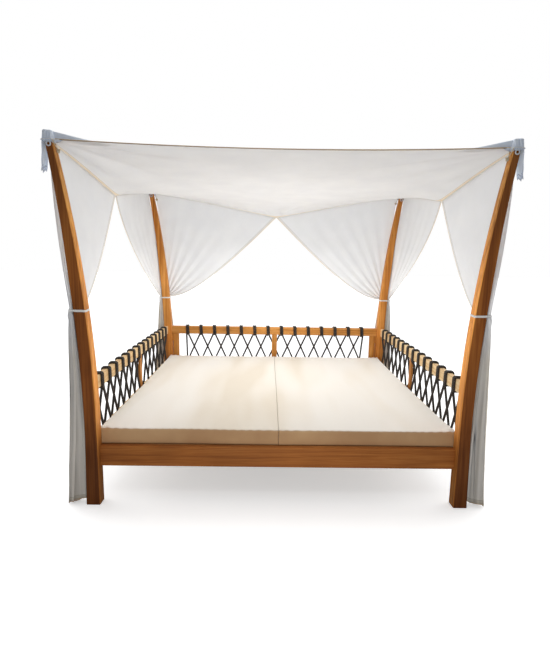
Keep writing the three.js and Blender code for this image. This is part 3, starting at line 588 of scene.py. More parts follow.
sheet_x = stations(-corner_x, corner_x, -hood_inner_x, hood_inner_x, sheet_columns)
sheet_y = stations(front_edge_y, back_edge_y, -hood_inner_y, hood_inner_y, sheet_rows)
grid_x, grid_y = np.meshgrid(sheet_x, sheet_y)
settled = front_edge_z(grid_x) + (back_edge_z(grid_x) - front_edge_z(grid_x)) * (
    (grid_y - front_edge_y) / (back_edge_y - front_edge_y))
settled[:, 0] = settled[:, -1] = side_edge_z(sheet_y)
settled[0], settled[-1] = front_edge_z(sheet_x), back_edge_z(sheet_x)
left_pull, right_pull = 1 / np.diff(sheet_x)[:-1], 1 / np.diff(sheet_x)[1:]
near_pull, far_pull = 1 / np.diff(sheet_y)[:-1, None], 1 / np.diff(sheet_y)[1:, None]
total_pull = left_pull + right_pull + near_pull + far_pull
for _ in range(settling_rounds):
    settled[1:-1, 1:-1] = (
        settled[1:-1, :-2] * left_pull + settled[1:-1, 2:] * right_pull
        + settled[:-2, 1:-1] * near_pull + settled[2:, 1:-1] * far_pull) / total_pull
across_x = 1 - (grid_x / corner_x) ** 2
across_y = 1 - (2 * (grid_y - front_edge_y) / (back_edge_y - front_edge_y) - 1) ** 2
height = settled - sheet_sag * across_x * across_y
print("canopy between", round(height.min(), 3), "and", round(height.max(), 3))

# %% Pull wrinkles


def pull_wrinkles(x, y, corner, count, start, reach, deep):
    """Wrinkles that fan out from one pulled point and fade with distance."""
    away_x, away_y = x - corner[0], y - corner[1]
    distance = np.hypot(away_x, away_y)
    turn = np.arctan2(away_y, away_x)
    fade = np.exp(-distance / reach) * np.clip(distance / start, 0, 1) ** 2
    wander = 0.9 * np.sin(1.7 * distance + 2 * turn)
    return deep * fade * np.sin(count * turn + wander) * (1 + 0.6 * np.sin(5 * turn + count))


hem_guard = np.clip(across_x * 6, 0, 1) * np.clip(across_y * 6, 0, 1)
wrinkles = sum(
    pull_wrinkles(grid_x, grid_y, corner, count, start, reach, deep)
    for corner, count, start, reach, deep in (
        ((-corner_x, front_edge_y), 14, 0.5, 0.5, 0.036),
        ((corner_x, front_edge_y), 13, 0.55, 0.45, 0.03),
        ((-corner_x, back_edge_y), 9, 0.4, 0.4, 0.006),
        ((corner_x, back_edge_y), 10, 0.4, 0.4, 0.006),
        ((0.0, back_edge_y), 13, 0.1, 0.13, 0.03),
        ((-corner_x, apex_y), 9, 0.2, 0.25, 0.004),
        ((corner_x, apex_y), 9, 0.2, 0.25, 0.004),
    ))
height = height + wrinkles * hem_guard
print("wrinkles up to", round(float(np.abs(wrinkles * hem_guard).max()), 4))

# %% Canopy piece
canopy_thickness = 0.0024
narrowed = grid_x * side_edge_x(grid_y) / corner_x
canopy_grid = np.stack([narrowed, grid_y + middle_y, height], axis=2)
centre_x = (sheet_x[1:] + sheet_x[:-1]) / 2
centre_y = (sheet_y[1:] + sheet_y[:-1]) / 2
in_corner = (np.abs(centre_y)[:, None] > hood_inner_y) & (np.abs(centre_x)[None, :] > hood_inner_x)
edge_distance = np.minimum(
    np.minimum(grid_x + corner_x, corner_x - grid_x),
    np.minimum(grid_y - front_edge_y, back_edge_y - grid_y))
canopy = cloth_piece(
    "canopy", canopy_grid, canopy_thickness, np.stack([grid_x, grid_y], axis=2), edge_distance,
    canopy_cloth, ~in_corner)
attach(canopy, "frame")
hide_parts("canopy_sheet")
print("canopy", len(canopy.data.polygons), "faces, area", round(cloth_area(canopy_grid), 2))

# %% [markdown]
# ## Curtains
# Each curtain falls from the canopy's edge and is drawn to its post by a tie, so its lines run like a fan
# from the edge to one point. Below the tie the cloth opens again. The code follows one thread at a time: a
# curve with one pull point from the edge to the tie, then a straight tail. Folds are shallow above and
# deep below.

# %% Curtain helper


def curve(start, pull, end, t):
    """A curve with one pull point. Arrays are taken point by point."""
    return (1 - t) ** 2 * start + 2 * t * (1 - t) * pull + t ** 2 * end


bundle_depth, bundle_width = 0.022, 0.056
tie_height, tie_room = 0.012, 0.008
cloth_gap, curtain_thickness, below_edge_room = 0.0006, 0.0016, 0.0022
side_cut, back_cut, cut_hem = (0.95, 1.95), (1.12, 1.95), 0.5


def curtain_grid(top, pull, tie_level, tie_a, hem_a, spread, backing, folds, seed, hug=0):
    """Middle points of one curtain as (a, n, z): along the edge, outward and up. hug draws it to its post."""
    share = np.unique(np.concatenate([np.linspace(0, 1, 121), 1 - hem_steps[:5] / side_cut[0]]))
    drape = np.linspace(0, 1, 70)
    tail = np.linspace(0, 1, 40)
    tie_top, tie_bottom = tie_level + tie_height / 2 + tie_room, tie_level - tie_height / 2 - tie_room
    bundle_n = backing(tie_top) + cloth_gap + bundle_depth / 2
    u = share[None, :]
    wander = 0.2 * np.sin(4.3 * u + seed) + 0.08 * np.sin(9 * u + 2 * seed)
    turn = 2 * np.pi * (folds * u + wander)

    t = drape[:, None]
    top_a, top_n, top_z = top(u)
    pull_a, pull_z = pull(u)
    z = curve(top_z, pull_z, tie_top, t)
    a = curve(top_a, pull_a, tie_a(u), t)
    fallen = np.clip((top_z - z) / (top_z - tie_top), 0, 1)
    bulge = 0.011 * np.sin(np.pi * t)
    n = top_n + (bundle_n - top_n) * fallen + bulge
    deep = 0.0004 + 0.0058 * t ** 3.2 + 0.0014 * np.sin(np.pi * t) * np.sin(np.pi * u) ** 0.5
    near_post = hug * np.exp(-(u / 0.12) ** 2) * np.clip(t / 0.15, 0, 1)
    n = n + (backing(z) + 0.002 + 1.2 * deep - n) * near_post
    ripple = np.sin(turn) + 0.2 * np.sin(2.7 * turn + seed) * t
    n = n + deep * ripple
    upper = np.stack([a, n, z], axis=2)

    t = tail[:, None]
    z = tie_bottom + (0.003 - tie_bottom) * t
    sway = 0.006 * np.sin(2.2 * np.pi * t + seed)
    width = bundle_depth + (spread - bundle_depth) * t ** 0.6
    fold = (width - 0.004) / 2 - 0.002
    n = backing(z) + cloth_gap + width / 2
    n = n + (bundle_n - n) * np.clip(1 - 12 * t, 0, 1)
    lap = np.clip(1.25 * np.sin(turn + 0.5 * t), -1, 1) * (1 - 0.1 * np.sin(3 * turn + 5 * t))
    n = n + fold * lap
    a = tie_a(u) + (hem_a(u) - tie_a(u)) * t + (0.0005 + 0.0045 * t) * np.sin(4 * turn + seed) + sway * t
    ragged = t ** 6 * (0.014 * (1 - lap) + 0.006 * (1 + np.sin(3 * turn + seed)))
    z = z + ragged
    lower = np.stack(np.broadcast_arrays(a, n, z), axis=2)
    return np.concatenate([upper, lower]), share


def curtain_piece(name, body_grid, share, sign, place, node, flat):
    """Puts a curtain's grid in its place, right side or mirrored left, and makes it a sheet."""
    grid = place(body_grid) * np.array([sign, 1, 1]) + np.array([0, middle_y, 0])
    run = np.linalg.norm(np.diff(grid, axis=0), axis=2).mean(axis=1)
    fallen = np.concatenate([[0], np.cumsum(run)])
    uv = np.stack(np.meshgrid(share * flat[0], fallen), axis=2)
    edge_gap = np.minimum((1 - share)[None, :] * flat[0], (fallen[-1] - fallen)[:, None])
    if sign < 0:
        grid, uv, edge_gap = grid[:, ::-1], uv[:, ::-1], edge_gap[:, ::-1]
    piece = cloth_piece(name, grid, curtain_thickness, uv, edge_gap, curtain_cloth)
    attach(piece, "frame")
    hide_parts(node)


# %% Side curtains
front_tie, back_tie = 1.100, 0.985
apex_gap, hood_gap, post_inset = 0.003, 0.002, 0.003
side_tail, side_spread, side_folds = 0.068, 0.104, 5.5
left_and_right = (("left", -1), ("right", 1))


def side_curtain(end, tie_level, reach, dip, seed):
    post_y = end * (half_depth - post_inset)
    from_y, to_y = end * (hood_inner_y - hood_gap), apex_y + end * apex_gap

    def top(u):
        y = from_y + (to_y - from_y) * u
        return y, side_edge_x(y), side_edge_z(y) - below_edge_room

    def pull(u):
        return post_y + (reach - post_y) * u, (tip_height + tie_level) / 2 * (1 - u) + dip * u

    return curtain_grid(
        top, pull, tie_level, lambda u: post_y - end * bundle_width * u,
        lambda u: post_y - end * side_tail * u, side_spread, post_outer, side_folds, seed, hug=max(end, 0))


def across_side(grid):
    return grid[:, :, [1, 0, 2]]


for end, end_name, tie_level, reach, dip in (
        (-1, "front", front_tie, -0.8, 0.95), (1, "back", back_tie, 0.1, 1.45)):
    for side_name, sign in left_and_right:
        grid, share = side_curtain(end, tie_level, reach, dip, 1.3 + sign + end * 0.4)
        ordered = grid if end > 0 else grid[:, ::-1]
        shares = share if end > 0 else share[::-1]
        curtain_piece(
            f"side_curtain_{end_name}_{side_name}", ordered, shares, sign, across_side,
            f"curtain_{side_name}_{end_name}", side_cut)

# %% Back curtains
back_tail, back_spread, back_folds = 0.150, 0.046, 7.5


def back_curtain(seed):
    tie_x = float(post_outer(back_tie)) - post_inset
    from_x = hood_inner_x - hood_gap

    def top(u):
        x = from_x + (apex_gap - from_x) * u
        return x, back_edge_y, back_edge_z(x) - below_edge_room

    def pull(u):
        return tie_x + (0.8 - tie_x) * u, (tip_height + back_tie) / 2 * (1 - u) + 0.955 * u

    return curtain_grid(
        top, pull, back_tie, lambda u: tie_x - bundle_width * u, lambda u: tie_x - back_tail * u,
        back_spread, lambda z: half_depth + 0 * z, back_folds, seed)


for side_name, sign in left_and_right:
    grid, share = back_curtain(0.7 + sign)
    curtain_piece(
        f"rear_curtain_{side_name}", grid, share, sign, lambda g: g, f"curtain_back_{side_name}",
        back_cut)

# %% [markdown]
# ## Mattresses
# Each mattress is a foam block in a sewn cover: pale canvas on top, and a darker band round its sides, partly
# its own canvas and partly painted shade; the cover is drawn in along the sides and puffed at the corners. A
# block is cut into fine squares, its edges are rounded by pushing every point out from a smaller core, and
# the
# soft forms are added: the crown, slow waves, and the small puckers where the top is sewn to the band. The
# long sides that meet stay straight and close, as in the photograph, where one thin seam parts the two.

# %% Mattress canvas


def ticking_finish():
    """Pale canvas with faint long streaks, a darker band below the sewn edge that is partly its own canvas
    and partly painted shade, and the seam between them.
    """
    finish, tree, shader = new_finish(
        "mattress canvas", 0.9, {"Sheen Weight": 0.1, "Specular IOR Level": 0.2})
    place = joined(tree, "TexCoord").outputs["Object"]
    uv = joined(tree, "UVMap", uv_map="UVMap").outputs[0]
    drawn = joined(tree, "Mapping", {0: place, 2: (0, 0, -0.2), 3: (2.6, 0.5, 1)}).outputs[0]
    top = ramp(tree, clouds(tree, drawn, 1.2, 1.5, 0.2), [
        (0.38, paint(235, 225, 208)), (0.5, paint(244, 237, 225)), (0.62, paint(248, 243, 234))])
    band_patches = clouds(tree, place, 3.2, 4)
    # The side band: its own darker canvas, and partly a painted shade of the side faces.
    band = ramp(tree, band_patches, [(0.35, paint(184, 146, 108)), (0.7, paint(206, 170, 128))])
    below = joined(tree, "Attribute", attribute_name="below_edge").outputs["Fac"]
    colour = mixed(tree, spread(tree, below, -0.004, 0.002), top, band)
    on_seam = spread(tree, worked(tree, "ABSOLUTE", below), 0.0005, 0.0022, 0.55, 0)
    colour = mixed(tree, on_seam, colour, paint(168, 132, 92))
    tree.links.new(colour, shader.inputs["Base Color"])
    threads = bumped(tree, weave(tree, uv, 145), 0.2, 0.0005)
    creased = bumped(tree, clouds(tree, place, 9, 3), 0.25, 0.006, threads)
    tree.links.new(creased, shader.inputs["Normal"])
    return finish


mattress_canvas = ticking_finish()
print("mattress finish:", mattress_canvas.name)

# %% Mattress helper


def rounded_block(half, radius, cuts):
    """Points and faces of a block with round edges, about its own centre. It is cut finer at its edges."""
    index, points, faces = {}, [], []
    crowding = 1.35
    lines = []
    for size, count in zip(half, cuts):
        even = np.linspace(-1, 1, count + 1)
        lines.append(size * np.sign(even) * (1 - (1 - np.abs(even)) ** crowding))

    def corner(key):
        if key not in index:
            index[key] = len(points)
            points.append(tuple(line[step] for line, step in zip(lines, key)))
        return index[key]

    for fixed, first, second in ((2, 0, 1), (1, 0, 2), (0, 1, 2)):
        for i in range(cuts[first]):
            for j in range(cuts[second]):
                for end in (0, 1):
                    turned = end == (fixed != 1)
                    steps = ((0, 0), (1, 0), (1, 1), (0, 1)) if turned else ((0, 0), (0, 1), (1, 1), (1, 0))
                    face = []
                    for across, up in steps:
                        key = [end * cuts[fixed]] * 3
                        key[first], key[second] = i + across, j + up
                        face.append(corner(tuple(key)))
                    faces.append(tuple(face))
    points = np.array(points)
    core = np.clip(points, -(np.array(half) - radius), np.array(half) - radius)
    away = points - core
    length = np.maximum(np.linalg.norm(away, axis=1, keepdims=True), 1e-9)
    return core + away / length * np.minimum(length, radius), faces


# %% Mattress pieces
pad_radius, outer_side, seam_gap = 0.013, 1.0165, 0.0004
pad_half_height, pad_cuts = 0.0465, (96, 170, 14)
crown_height, puff_height, wave_height = 0.006, 0.008, 0.0025
pucker_pitch, pucker_drop, pucker_draw, side_draw = 0.047, 0.0034, 0.0022, 0.006
for name, node, seam_side in (
        ("mattress_pad_left", "mattress_left", 1), ("mattress_pad_right", "mattress_right", -1)):
    low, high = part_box(node)
    centre = Vector((-seam_side * (outer_side + seam_gap) / 2, (low.y + high.y) / 2, 0))
    half = ((outer_side - seam_gap) / 2, (high.y - low.y) / 2, pad_half_height)
    points, faces = rounded_block(half, pad_radius, pad_cuts)
    part_x, part_y, part_z = (points / np.array(half)).T
    rise = (part_z + 1) / 2
    to_seam_side = np.clip(part_x * seam_side, 0, 1)
    crown = crown_height * (1 - np.abs(part_x) ** 10 * (1 - 0.75 * to_seam_side)) * (1 - np.abs(part_y) ** 10)
    puff = puff_height * np.abs(part_x) ** 6 * np.abs(part_y) ** 8 * (1 - to_seam_side)
    slow = np.array([noise.noise(Vector((x * 3.1, y * 3.1, centre.x * 5))) for x, y, _ in points])
    gap_x, gap_y = half[0] - np.abs(points[:, 0]), half[1] - np.abs(points[:, 1])
    corner_gap = np.hypot(gap_x, gap_y)
    along = np.where(gap_x < gap_y, points[:, 1], points[:, 0])
    rough = np.array([noise.noise(Vector((a * 4, centre.x * 9, g * 3))) for a, g in zip(along, corner_gap)])
    strong = 0.12 + 0.9 * np.exp(-corner_gap / 0.2) + 0.4 * np.clip(rough, 0, 1)
    edge_gap = np.minimum(gap_x, gap_y)
    pucker = np.sin(along * 2 * np.pi / pucker_pitch + 7 * rough) * np.exp(-edge_gap / 0.03) * strong
    pucker *= np.exp(-np.clip(half[2] - points[:, 2], 0, None) / 0.02) * (1 - 0.8 * to_seam_side ** 8)
    points[:, 2] += rise * (crown + puff + wave_height * slow) - pucker_drop * pucker
    slack = (np.abs(part_x) > 0.9) * (1 - np.round(to_seam_side))
    at_end = np.abs(part_y) > 0.9
    points[:, 0] -= (side_draw * (1 - part_y ** 2) * slack + pucker_draw * pucker) * np.sign(part_x)
    points[:, 1] -= (side_draw * (1 - part_x ** 2) * at_end + pucker_draw * pucker) * np.sign(part_y)
    close = np.exp(-np.clip(gap_x - pad_radius, 0, None) / 0.03) * (to_seam_side > 0.5)
    points[:, 0] += seam_side * 0.93 * np.minimum(gap_x, pad_radius) * close
    below_edge = half[2] - 0.005 - part_z * half[2] - np.clip(edge_gap - 0.009, 0, None) * 4
    below_edge = np.where((to_seam_side > 0.97) & (gap_y > pad_radius), -0.01, below_edge)
    points += np.array([centre.x, centre.y, low.z + half[2]])
    uv = points[:, :2] + points[:, 2:3]
    pad = finished(name, points, faces, uv, mattress_canvas, below_edge=below_edge)
    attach(pad, "left_mattress" if node == "mattress_left" else "right_mattress")
    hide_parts(node)
    print(name, "top at", round(points[:, 2].max(), 3))

# %% [markdown]
# ## Lacing
# One dark cord laces each panel. It winds twice over the top rail at every loop, goes once under the
# bottom rail between them, and its two passes cross, which makes the diamonds. The route is the CAD cord's
# own, worked out from the rails, with round bends where the rope turns over an edge.

# %% Lacing route
cord_diameter, cord_room, cord_seat, cord_end_gap = 0.015, 0.001, 0.0007, 0.0006
cord_radius = cord_diameter / 2
cord_off = cord_radius * math.cos(math.pi / 4) + cord_seat
loop_pitch, stile_width, slit_width, centre_stile_thickness = 0.131, 0.050, 0.012, 0.016
top_low, top_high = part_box("back_panel_top_rail")
bottom_low, bottom_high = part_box("back_panel_bottom_rail")
panel_thickness = top_high.y - top_low.y


def lacing_route(half_span):
    """The cord's corner points as (u, w, z): along the panel, towards the bed and up."""
    side = panel_thickness / 2 + cord_off
    low, high = top_low.z - cord_off, top_high.z + cord_off
    under, shelf = bottom_low.z - cord_off, bottom_high.z
    middle = math.floor((half_span - slit_width - stile_width - 2 * cord_diameter) / loop_pitch + 1 / 2)
    last = 2 * middle - 1
    lead = (cord_diameter + cord_room) / 4
    reach = lead * 7 / 2
    round_rail = [(-side, low), (-side, high), (side, high), (side, low)] * 2

    def at(k):
        return (k - last / 2) * loop_pitch

    def turn(k):
        return [(at(k) + i * lead - reach, w, z) for i, (w, z) in enumerate(round_rail)]

    def bottom(k):
        return [(at(k), w, z) for w, z in ((side, shelf), (side, under), (-side, under), (-side, shelf))]

    start = at(middle - 1) + reach
    stile_edge = stile_width / 2 + cord_radius
    behind_stile = panel_thickness / 2 - centre_stile_thickness - cord_radius - cord_seat

    def fallen(u):
        return low + (shelf - low) * (u - start) / (at(middle) - start)

    def fall_via(k):
        return [(u, behind_stile, fallen(u)) for u in (-stile_edge, stile_edge)] if k == middle - 1 else []

    def climb_via(k):
        return [(0, behind_stile - cord_diameter - cord_seat, fallen(0))] if k == middle else []

    route = [(at(0), -cord_end_gap / 2, under)] + bottom(0)[2:]
    for k in range(1, last + 1):
        route += climb_via(k) + turn(k) if k % 2 else fall_via(k - 1) + bottom(k)
    route += (bottom(last) if last % 2 else turn(last))[::-1]
    for k in range(last - 1, 0, -1):
        route += (bottom(k) + climb_via(k + 1) if k % 2 else turn(k) + fall_via(k))[::-1]
    return route + turn(0)[::-1] + bottom(0)[:2] + [(at(0), cord_end_gap / 2, under)]


# %% Cord finish


def cord_finish(name, dark, light, plait):
    """Braided cord: two sets of strands cross round it, drawn from its own UV map, with a painted shade
    between the strands and a painted highlight on their crowns.
    """
    finish, tree, shader = new_finish(name, 0.75)
    uv = joined(tree, "UVMap", uv_map="UVMap").outputs[0]
    part = joined(tree, "SeparateXYZ", {0: uv}).outputs
    strands = []
    for turns_round in (3, -3):
        along = worked(tree, "MULTIPLY", part[1], 1 / plait)
        around = worked(tree, "MULTIPLY", part[0], turns_round)
        angle = worked(tree, "MULTIPLY", worked(tree, "ADD", along, around), 2 * math.pi)
        strands.append(worked(tree, "SINE", angle))
    height = worked(tree, "MAXIMUM", *strands)
    # Painted shade and highlight: the colour runs from the dark tone in the grooves to the light tone on the
    # strands' crowns.
    tree.links.new(ramp(tree, height, [(0.0, dark), (0.9, light)]), shader.inputs["Base Color"])
    tree.links.new(bumped(tree, height, 0.6, 0.0012), shader.inputs["Normal"])
    return finish


lacing_finish = cord_finish("lacing cord", paint(30, 26, 24), paint(64, 56, 50), 0.014)
print("cord finish:", lacing_finish.name)

# %% Rope tube


def tube_faces(rings, sides, closed=True):
    """The faces between rings of points that follow one another."""
    faces = []
    for i in range(rings if closed else rings - 1):
        for j in range(sides):
            k, after = (j + 1) % sides, (i + 1) % rings
            faces.append((i * sides + j, i * sides + k, after * sides + k, after * sides + j))
    return faces


def round_bends(corners, bend):
    """The route with each corner eased by a short curve."""
    corners = np.array(corners)
    path = [corners[0]]
    for before, corner, after in zip(corners, corners[1:], corners[2:]):
        back, ahead = before - corner, after - corner
        reach_back = min(bend, np.linalg.norm(back) * 0.45) / np.linalg.norm(back)
        reach_ahead = min(bend, np.linalg.norm(ahead) * 0.45) / np.linalg.norm(ahead)
        for t in np.linspace(0, 1, 5):
            path.append(curve(corner + back * reach_back, corner, corner + ahead * reach_ahead, t))
    return np.array(path + [corners[-1]])


def rope(name, path, radius, finish, sides=10, closed=False):
    """A round tube along a path, with a UV map of metres along it and a share round it."""
    path = np.array(path)
    around = np.concatenate([path[-1:], path, path[:1]])
    ahead = around[2:] - around[:-2] if closed else np.gradient(path, axis=0)
    ahead /= np.linalg.norm(ahead, axis=1, keepdims=True)
    steps = np.linalg.norm(np.diff(around[1:], axis=0), axis=1)
    run = np.concatenate([[0], np.cumsum(steps)])
    spoke = np.cross(ahead[0], (0.31, 0.2, 0.93))
    angles = np.arange(sides) * 2 * np.pi / sides
    points = []
    for centre, direction in zip(path, ahead):
        spoke = spoke - direction * spoke.dot(direction)
        spoke /= np.linalg.norm(spoke)
        other = np.cross(direction, spoke)
        points += [centre + radius * (math.cos(a) * spoke + math.sin(a) * other) for a in angles]
    count = len(path)
    faces, corner_uv = tube_faces(count, sides, closed), []
    for i in range(len(faces) // sides):
        for j in range(sides):
            left, right = j / sides, (j + 1) / sides
            corner_uv += [(left, run[i]), (right, run[i]), (right, run[i + 1]), (left, run[i + 1])]
    if not closed:
        faces += [tuple(range(sides))[::-1], tuple((count - 1) * sides + j for j in range(sides))]
        corner_uv += [(0, 0)] * (2 * sides)
    piece = finished(name, points, faces, corner_uv, finish, by_corner=True)
    return piece, run[-1] if closed else run[count - 1]


# %% Lacing pieces
shown_radius, shown_bend, rail_end_room = 0.0078, 0.011, 0.0003
side_low, side_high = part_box("right_panel_top_rail")
side_middle_x = (side_low.x + side_high.x) / 2
back_middle_y = (top_low.y + top_high.y) / 2
side_span = (side_high.y - side_low.y) / 2
back_span = float(post_inner(bottom_high.z)) - rail_end_room
for name, span, place in (
        ("back_panel_lacing", back_span, lambda p: (p[0], back_middle_y - p[1], p[2])),
        ("right_panel_lacing", side_span, lambda p: (side_middle_x - p[1], p[0] + middle_y, p[2])),
        ("left_panel_lacing", side_span, lambda p: (p[1] - side_middle_x, p[0] + middle_y, p[2]))):
    path = round_bends([place(p) for p in lacing_route(span)], shown_bend)
    piece, length = rope(name.replace("lacing", "cord"), path, shown_radius, lacing_finish)
    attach(piece, "frame")
    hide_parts(name)
    print(piece.name, round(length, 2), "m of cord,", len(piece.data.polygons), "faces")

# %% [markdown]
# ## Ties
# A narrow white tape holds each bundle of cloth against its post, with a small knot and two loose ends on
# the outer side. A tape is a thin closed band, so it is swept round a loop with round corners. Its path is
# worked out for the right front corner, and every other corner gets the same path mirrored.

# %% Corner helpers


def at_corner(points, sign_x, sign_y):
    """Points of the right front corner, with y counted outward, moved to one of the four corners."""
    return np.array(points) * (sign_x, sign_y, 1) + (0, middle_y, 0)


def round_loop(low_x, high_x, low_y, high_y, radius, level):
    """A loop with round corners at one height, as points in order."""
    path = []
    for quarter, (x, y) in enumerate((
            (high_x - radius, high_y - radius), (low_x + radius, high_y - radius),
            (low_x + radius, low_y + radius), (high_x - radius, low_y + radius))):
        for step in range(7):
            angle = (quarter + step / 6) * np.pi / 2
            path.append((x + radius * math.cos(angle), y + radius * math.sin(angle), level))
    path = np.array(path + path[:1])
    run = np.concatenate([[0], np.cumsum(np.linalg.norm(np.diff(path, axis=0), axis=1))])
    even = np.linspace(0, run[-1], 73)[:-1]
    return np.stack([np.interp(even, run, path[:, axis]) for axis in range(3)], axis=1)


def tape_band(name, path, width, thickness, finish):
    """A closed band that stands upright along a closed path, a little thinner at its edges."""
    ahead = np.roll(path, -1, axis=0) - np.roll(path, 1, axis=0)
    outward = np.stack([ahead[:, 1], -ahead[:, 0], 0 * ahead[:, 0]], axis=1)
    outward /= np.linalg.norm(outward, axis=1, keepdims=True)
    section = [
        (-0.5, -0.3), (-0.44, -0.5), (0.44, -0.5), (0.5, -0.3),
        (0.5, 0.3), (0.44, 0.5), (-0.44, 0.5), (-0.5, 0.3)]
    points = [
        p + o * thickness * b + np.array((0, 0, width * a))
        for p, o in zip(path, outward) for a, b in section]
    uv = [(i * 0.004, a * width) for i in range(len(path)) for a, _ in section]
    faces = tube_faces(len(path), len(section))
    return finished(name, points, faces, uv, finish, edge_gap=np.ones(len(points)))


def one_piece(name, parts):
    """Joins parts that move together, and puts their faces the right way out."""
    bpy.ops.object.select_all(action="DESELECT")
    for part in parts:
        part.select_set(True)
    bpy.context.view_layer.objects.active = parts[0]
    bpy.ops.object.join()
    piece = bpy.context.object
    piece.name = name
    bpy.ops.object.mode_set(mode="EDIT")
    bpy.ops.mesh.select_all(action="SELECT")
    bpy.ops.mesh.normals_make_consistent(inside=False)
    bpy.ops.object.mode_set(mode="OBJECT")
    piece.select_set(False)
    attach(piece, "frame")
    return piece


def knot_path(centre, size):
    """An overhand knot: a trefoil that is left open at one place, and somewhat flattened."""
    flat = 0.6
    t = np.linspace(0.35, 2 * np.pi - 0.1, 60)
    x, z, y = np.sin(t) + 2 * np.sin(2 * t), np.cos(t) - 2 * np.cos(2 * t), -np.sin(3 * t)
    return np.array(centre) + size / 3 * np.stack([x, flat * 2 * y, z], axis=1)


# %% Tie pieces
tape_width, tape_thickness, strap_room, strap_bend = 0.0115, 0.002, 0.0014, 0.007
strap_knot, strap_knot_cord, loose_thickness, loose_half = 0.0075, 0.0024, 0.0014, 0.005
loose_rows, loose_columns = 22, 5
for end_name, sign_y, level, behind in (
        ("front", -1, front_tie, 0), ("back", 1, back_tie, bundle_depth + cloth_gap)):
    low_x = float(post_inner(level)) - strap_room
    high_x = float(post_outer(level + tie_height / 2 + tie_room)) + cloth_gap + bundle_depth + strap_room
    high_y = half_depth + strap_room + behind
    low_y = half_depth - float(post_depth(level)) - strap_room
    loop = round_loop(low_x, high_x, low_y, high_y, strap_bend, level)
    phase = np.arange(len(loop)) * 2 * np.pi / len(loop)
    loop[:, 2] += 0.0011 * np.sin(2 * phase + 1) + 0.0006 * np.sin(5 * phase)
    knot_at = (high_x + 0.005, (low_y + high_y) / 2 - 0.006, level)
    for side_name, sign_x in left_and_right:
        band = at_corner(loop, sign_x, sign_y)
        parts = [tape_band("tape", band, tape_width, tape_thickness, tie_tape)]
        knot = np.array(knot_at) + (knot_path(knot_at, strap_knot) - knot_at)[:, [1, 0, 2]]
        parts.append(rope("knot", at_corner(knot, sign_x, sign_y), strap_knot_cord, tie_tape, 8)[0])
        for lean, length in ((-1, 0.075), (1, 0.058)):
            t, v = np.linspace(0, 1, loose_rows)[:, None], np.linspace(-1, 1, loose_columns)[None, :]
            curl = 0.5 * np.sin(3 * t + lean)
            x = knot_at[0] + 0.003 + 0.004 * np.sin(4 * t) + 0.004 * v * np.sin(curl)
            y = knot_at[1] + lean * (0.003 + 0.016 * t ** 1.4) + 0.0045 * v * np.cos(curl)
            z = level - 0.004 - length * t - 0.002 * lean * v
            end = np.stack(np.broadcast_arrays(x, y, z), axis=2).reshape(-1, 3)
            end = at_corner(end, sign_x, sign_y).reshape(loose_rows, loose_columns, 3)
            uv = np.stack(np.broadcast_arrays(v * loose_half, t * length), axis=2)
            whole = np.ones((loose_rows, loose_columns))
            parts.append(cloth_piece("loose end", end, loose_thickness, uv, whole, tie_tape))
        strap = one_piece(f"strap_{end_name}_{side_name}", parts)
        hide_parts(f"tie_{end_name}_{side_name}")
print("strap", len(strap.data.polygons), "faces")

# %% [markdown]
# ## Hoods
# Over each post tip the canopy's cloth is pulled up into a small hood, whose bluish tone is a painted shade.
# Towards the bed it runs down onto the sheet like the corner of a tent, on the outer side it hangs as a
# short ragged flap, and at the front it ends just above the lashing. The code walks round the tip: each
# direction has its own profile, either the snug one that goes down along the post or the sloping one that
# ends on the canopy. On the front hoods a narrow wing of the same cloth follows the canopy's front edge.

# %% Hood surface


def eased(value, start, end):
    """Rises smoothly from 0 at start to 1 at end."""
    t = np.clip((value - start) / (end - start), 0, 1)
    return t * t * (3 - 2 * t)


def canopy_top(x, y):
    """The canopy's upper side above a place, with y counted from the middle of the depth."""
    across = x * corner_x / side_edge_x(y)
    i = np.clip(np.searchsorted(sheet_x, across) - 1, 0, len(sheet_x) - 2)
    j = np.clip(np.searchsorted(sheet_y, y) - 1, 0, len(sheet_y) - 2)
    p = np.clip((across - sheet_x[i]) / (sheet_x[i + 1] - sheet_x[i]), 0, 1)
    q = np.clip((y - sheet_y[j]) / (sheet_y[j + 1] - sheet_y[j]), 0, 1)
    near = height[j, i] * (1 - p) + height[j, i + 1] * p
    far = height[j + 1, i] * (1 - p) + height[j + 1, i + 1] * p
    return near * (1 - q) + far * q + canopy_thickness / 2


tip_x = (float(post_inner(post_height)) + float(post_outer(post_height))) / 2
tip_y = half_depth - float(post_depth(post_height)) / 2
hood_peak = post_height + 0.015
snug_out, snug_in, snug_side = 0.0215, 0.034, 0.0285
hood_half_thickness, above_sheet = 0.001, 0.0022
slope_reach, wing_reach, wing_degrees, wing_half_width = 0.062, 0.25, 187, 9


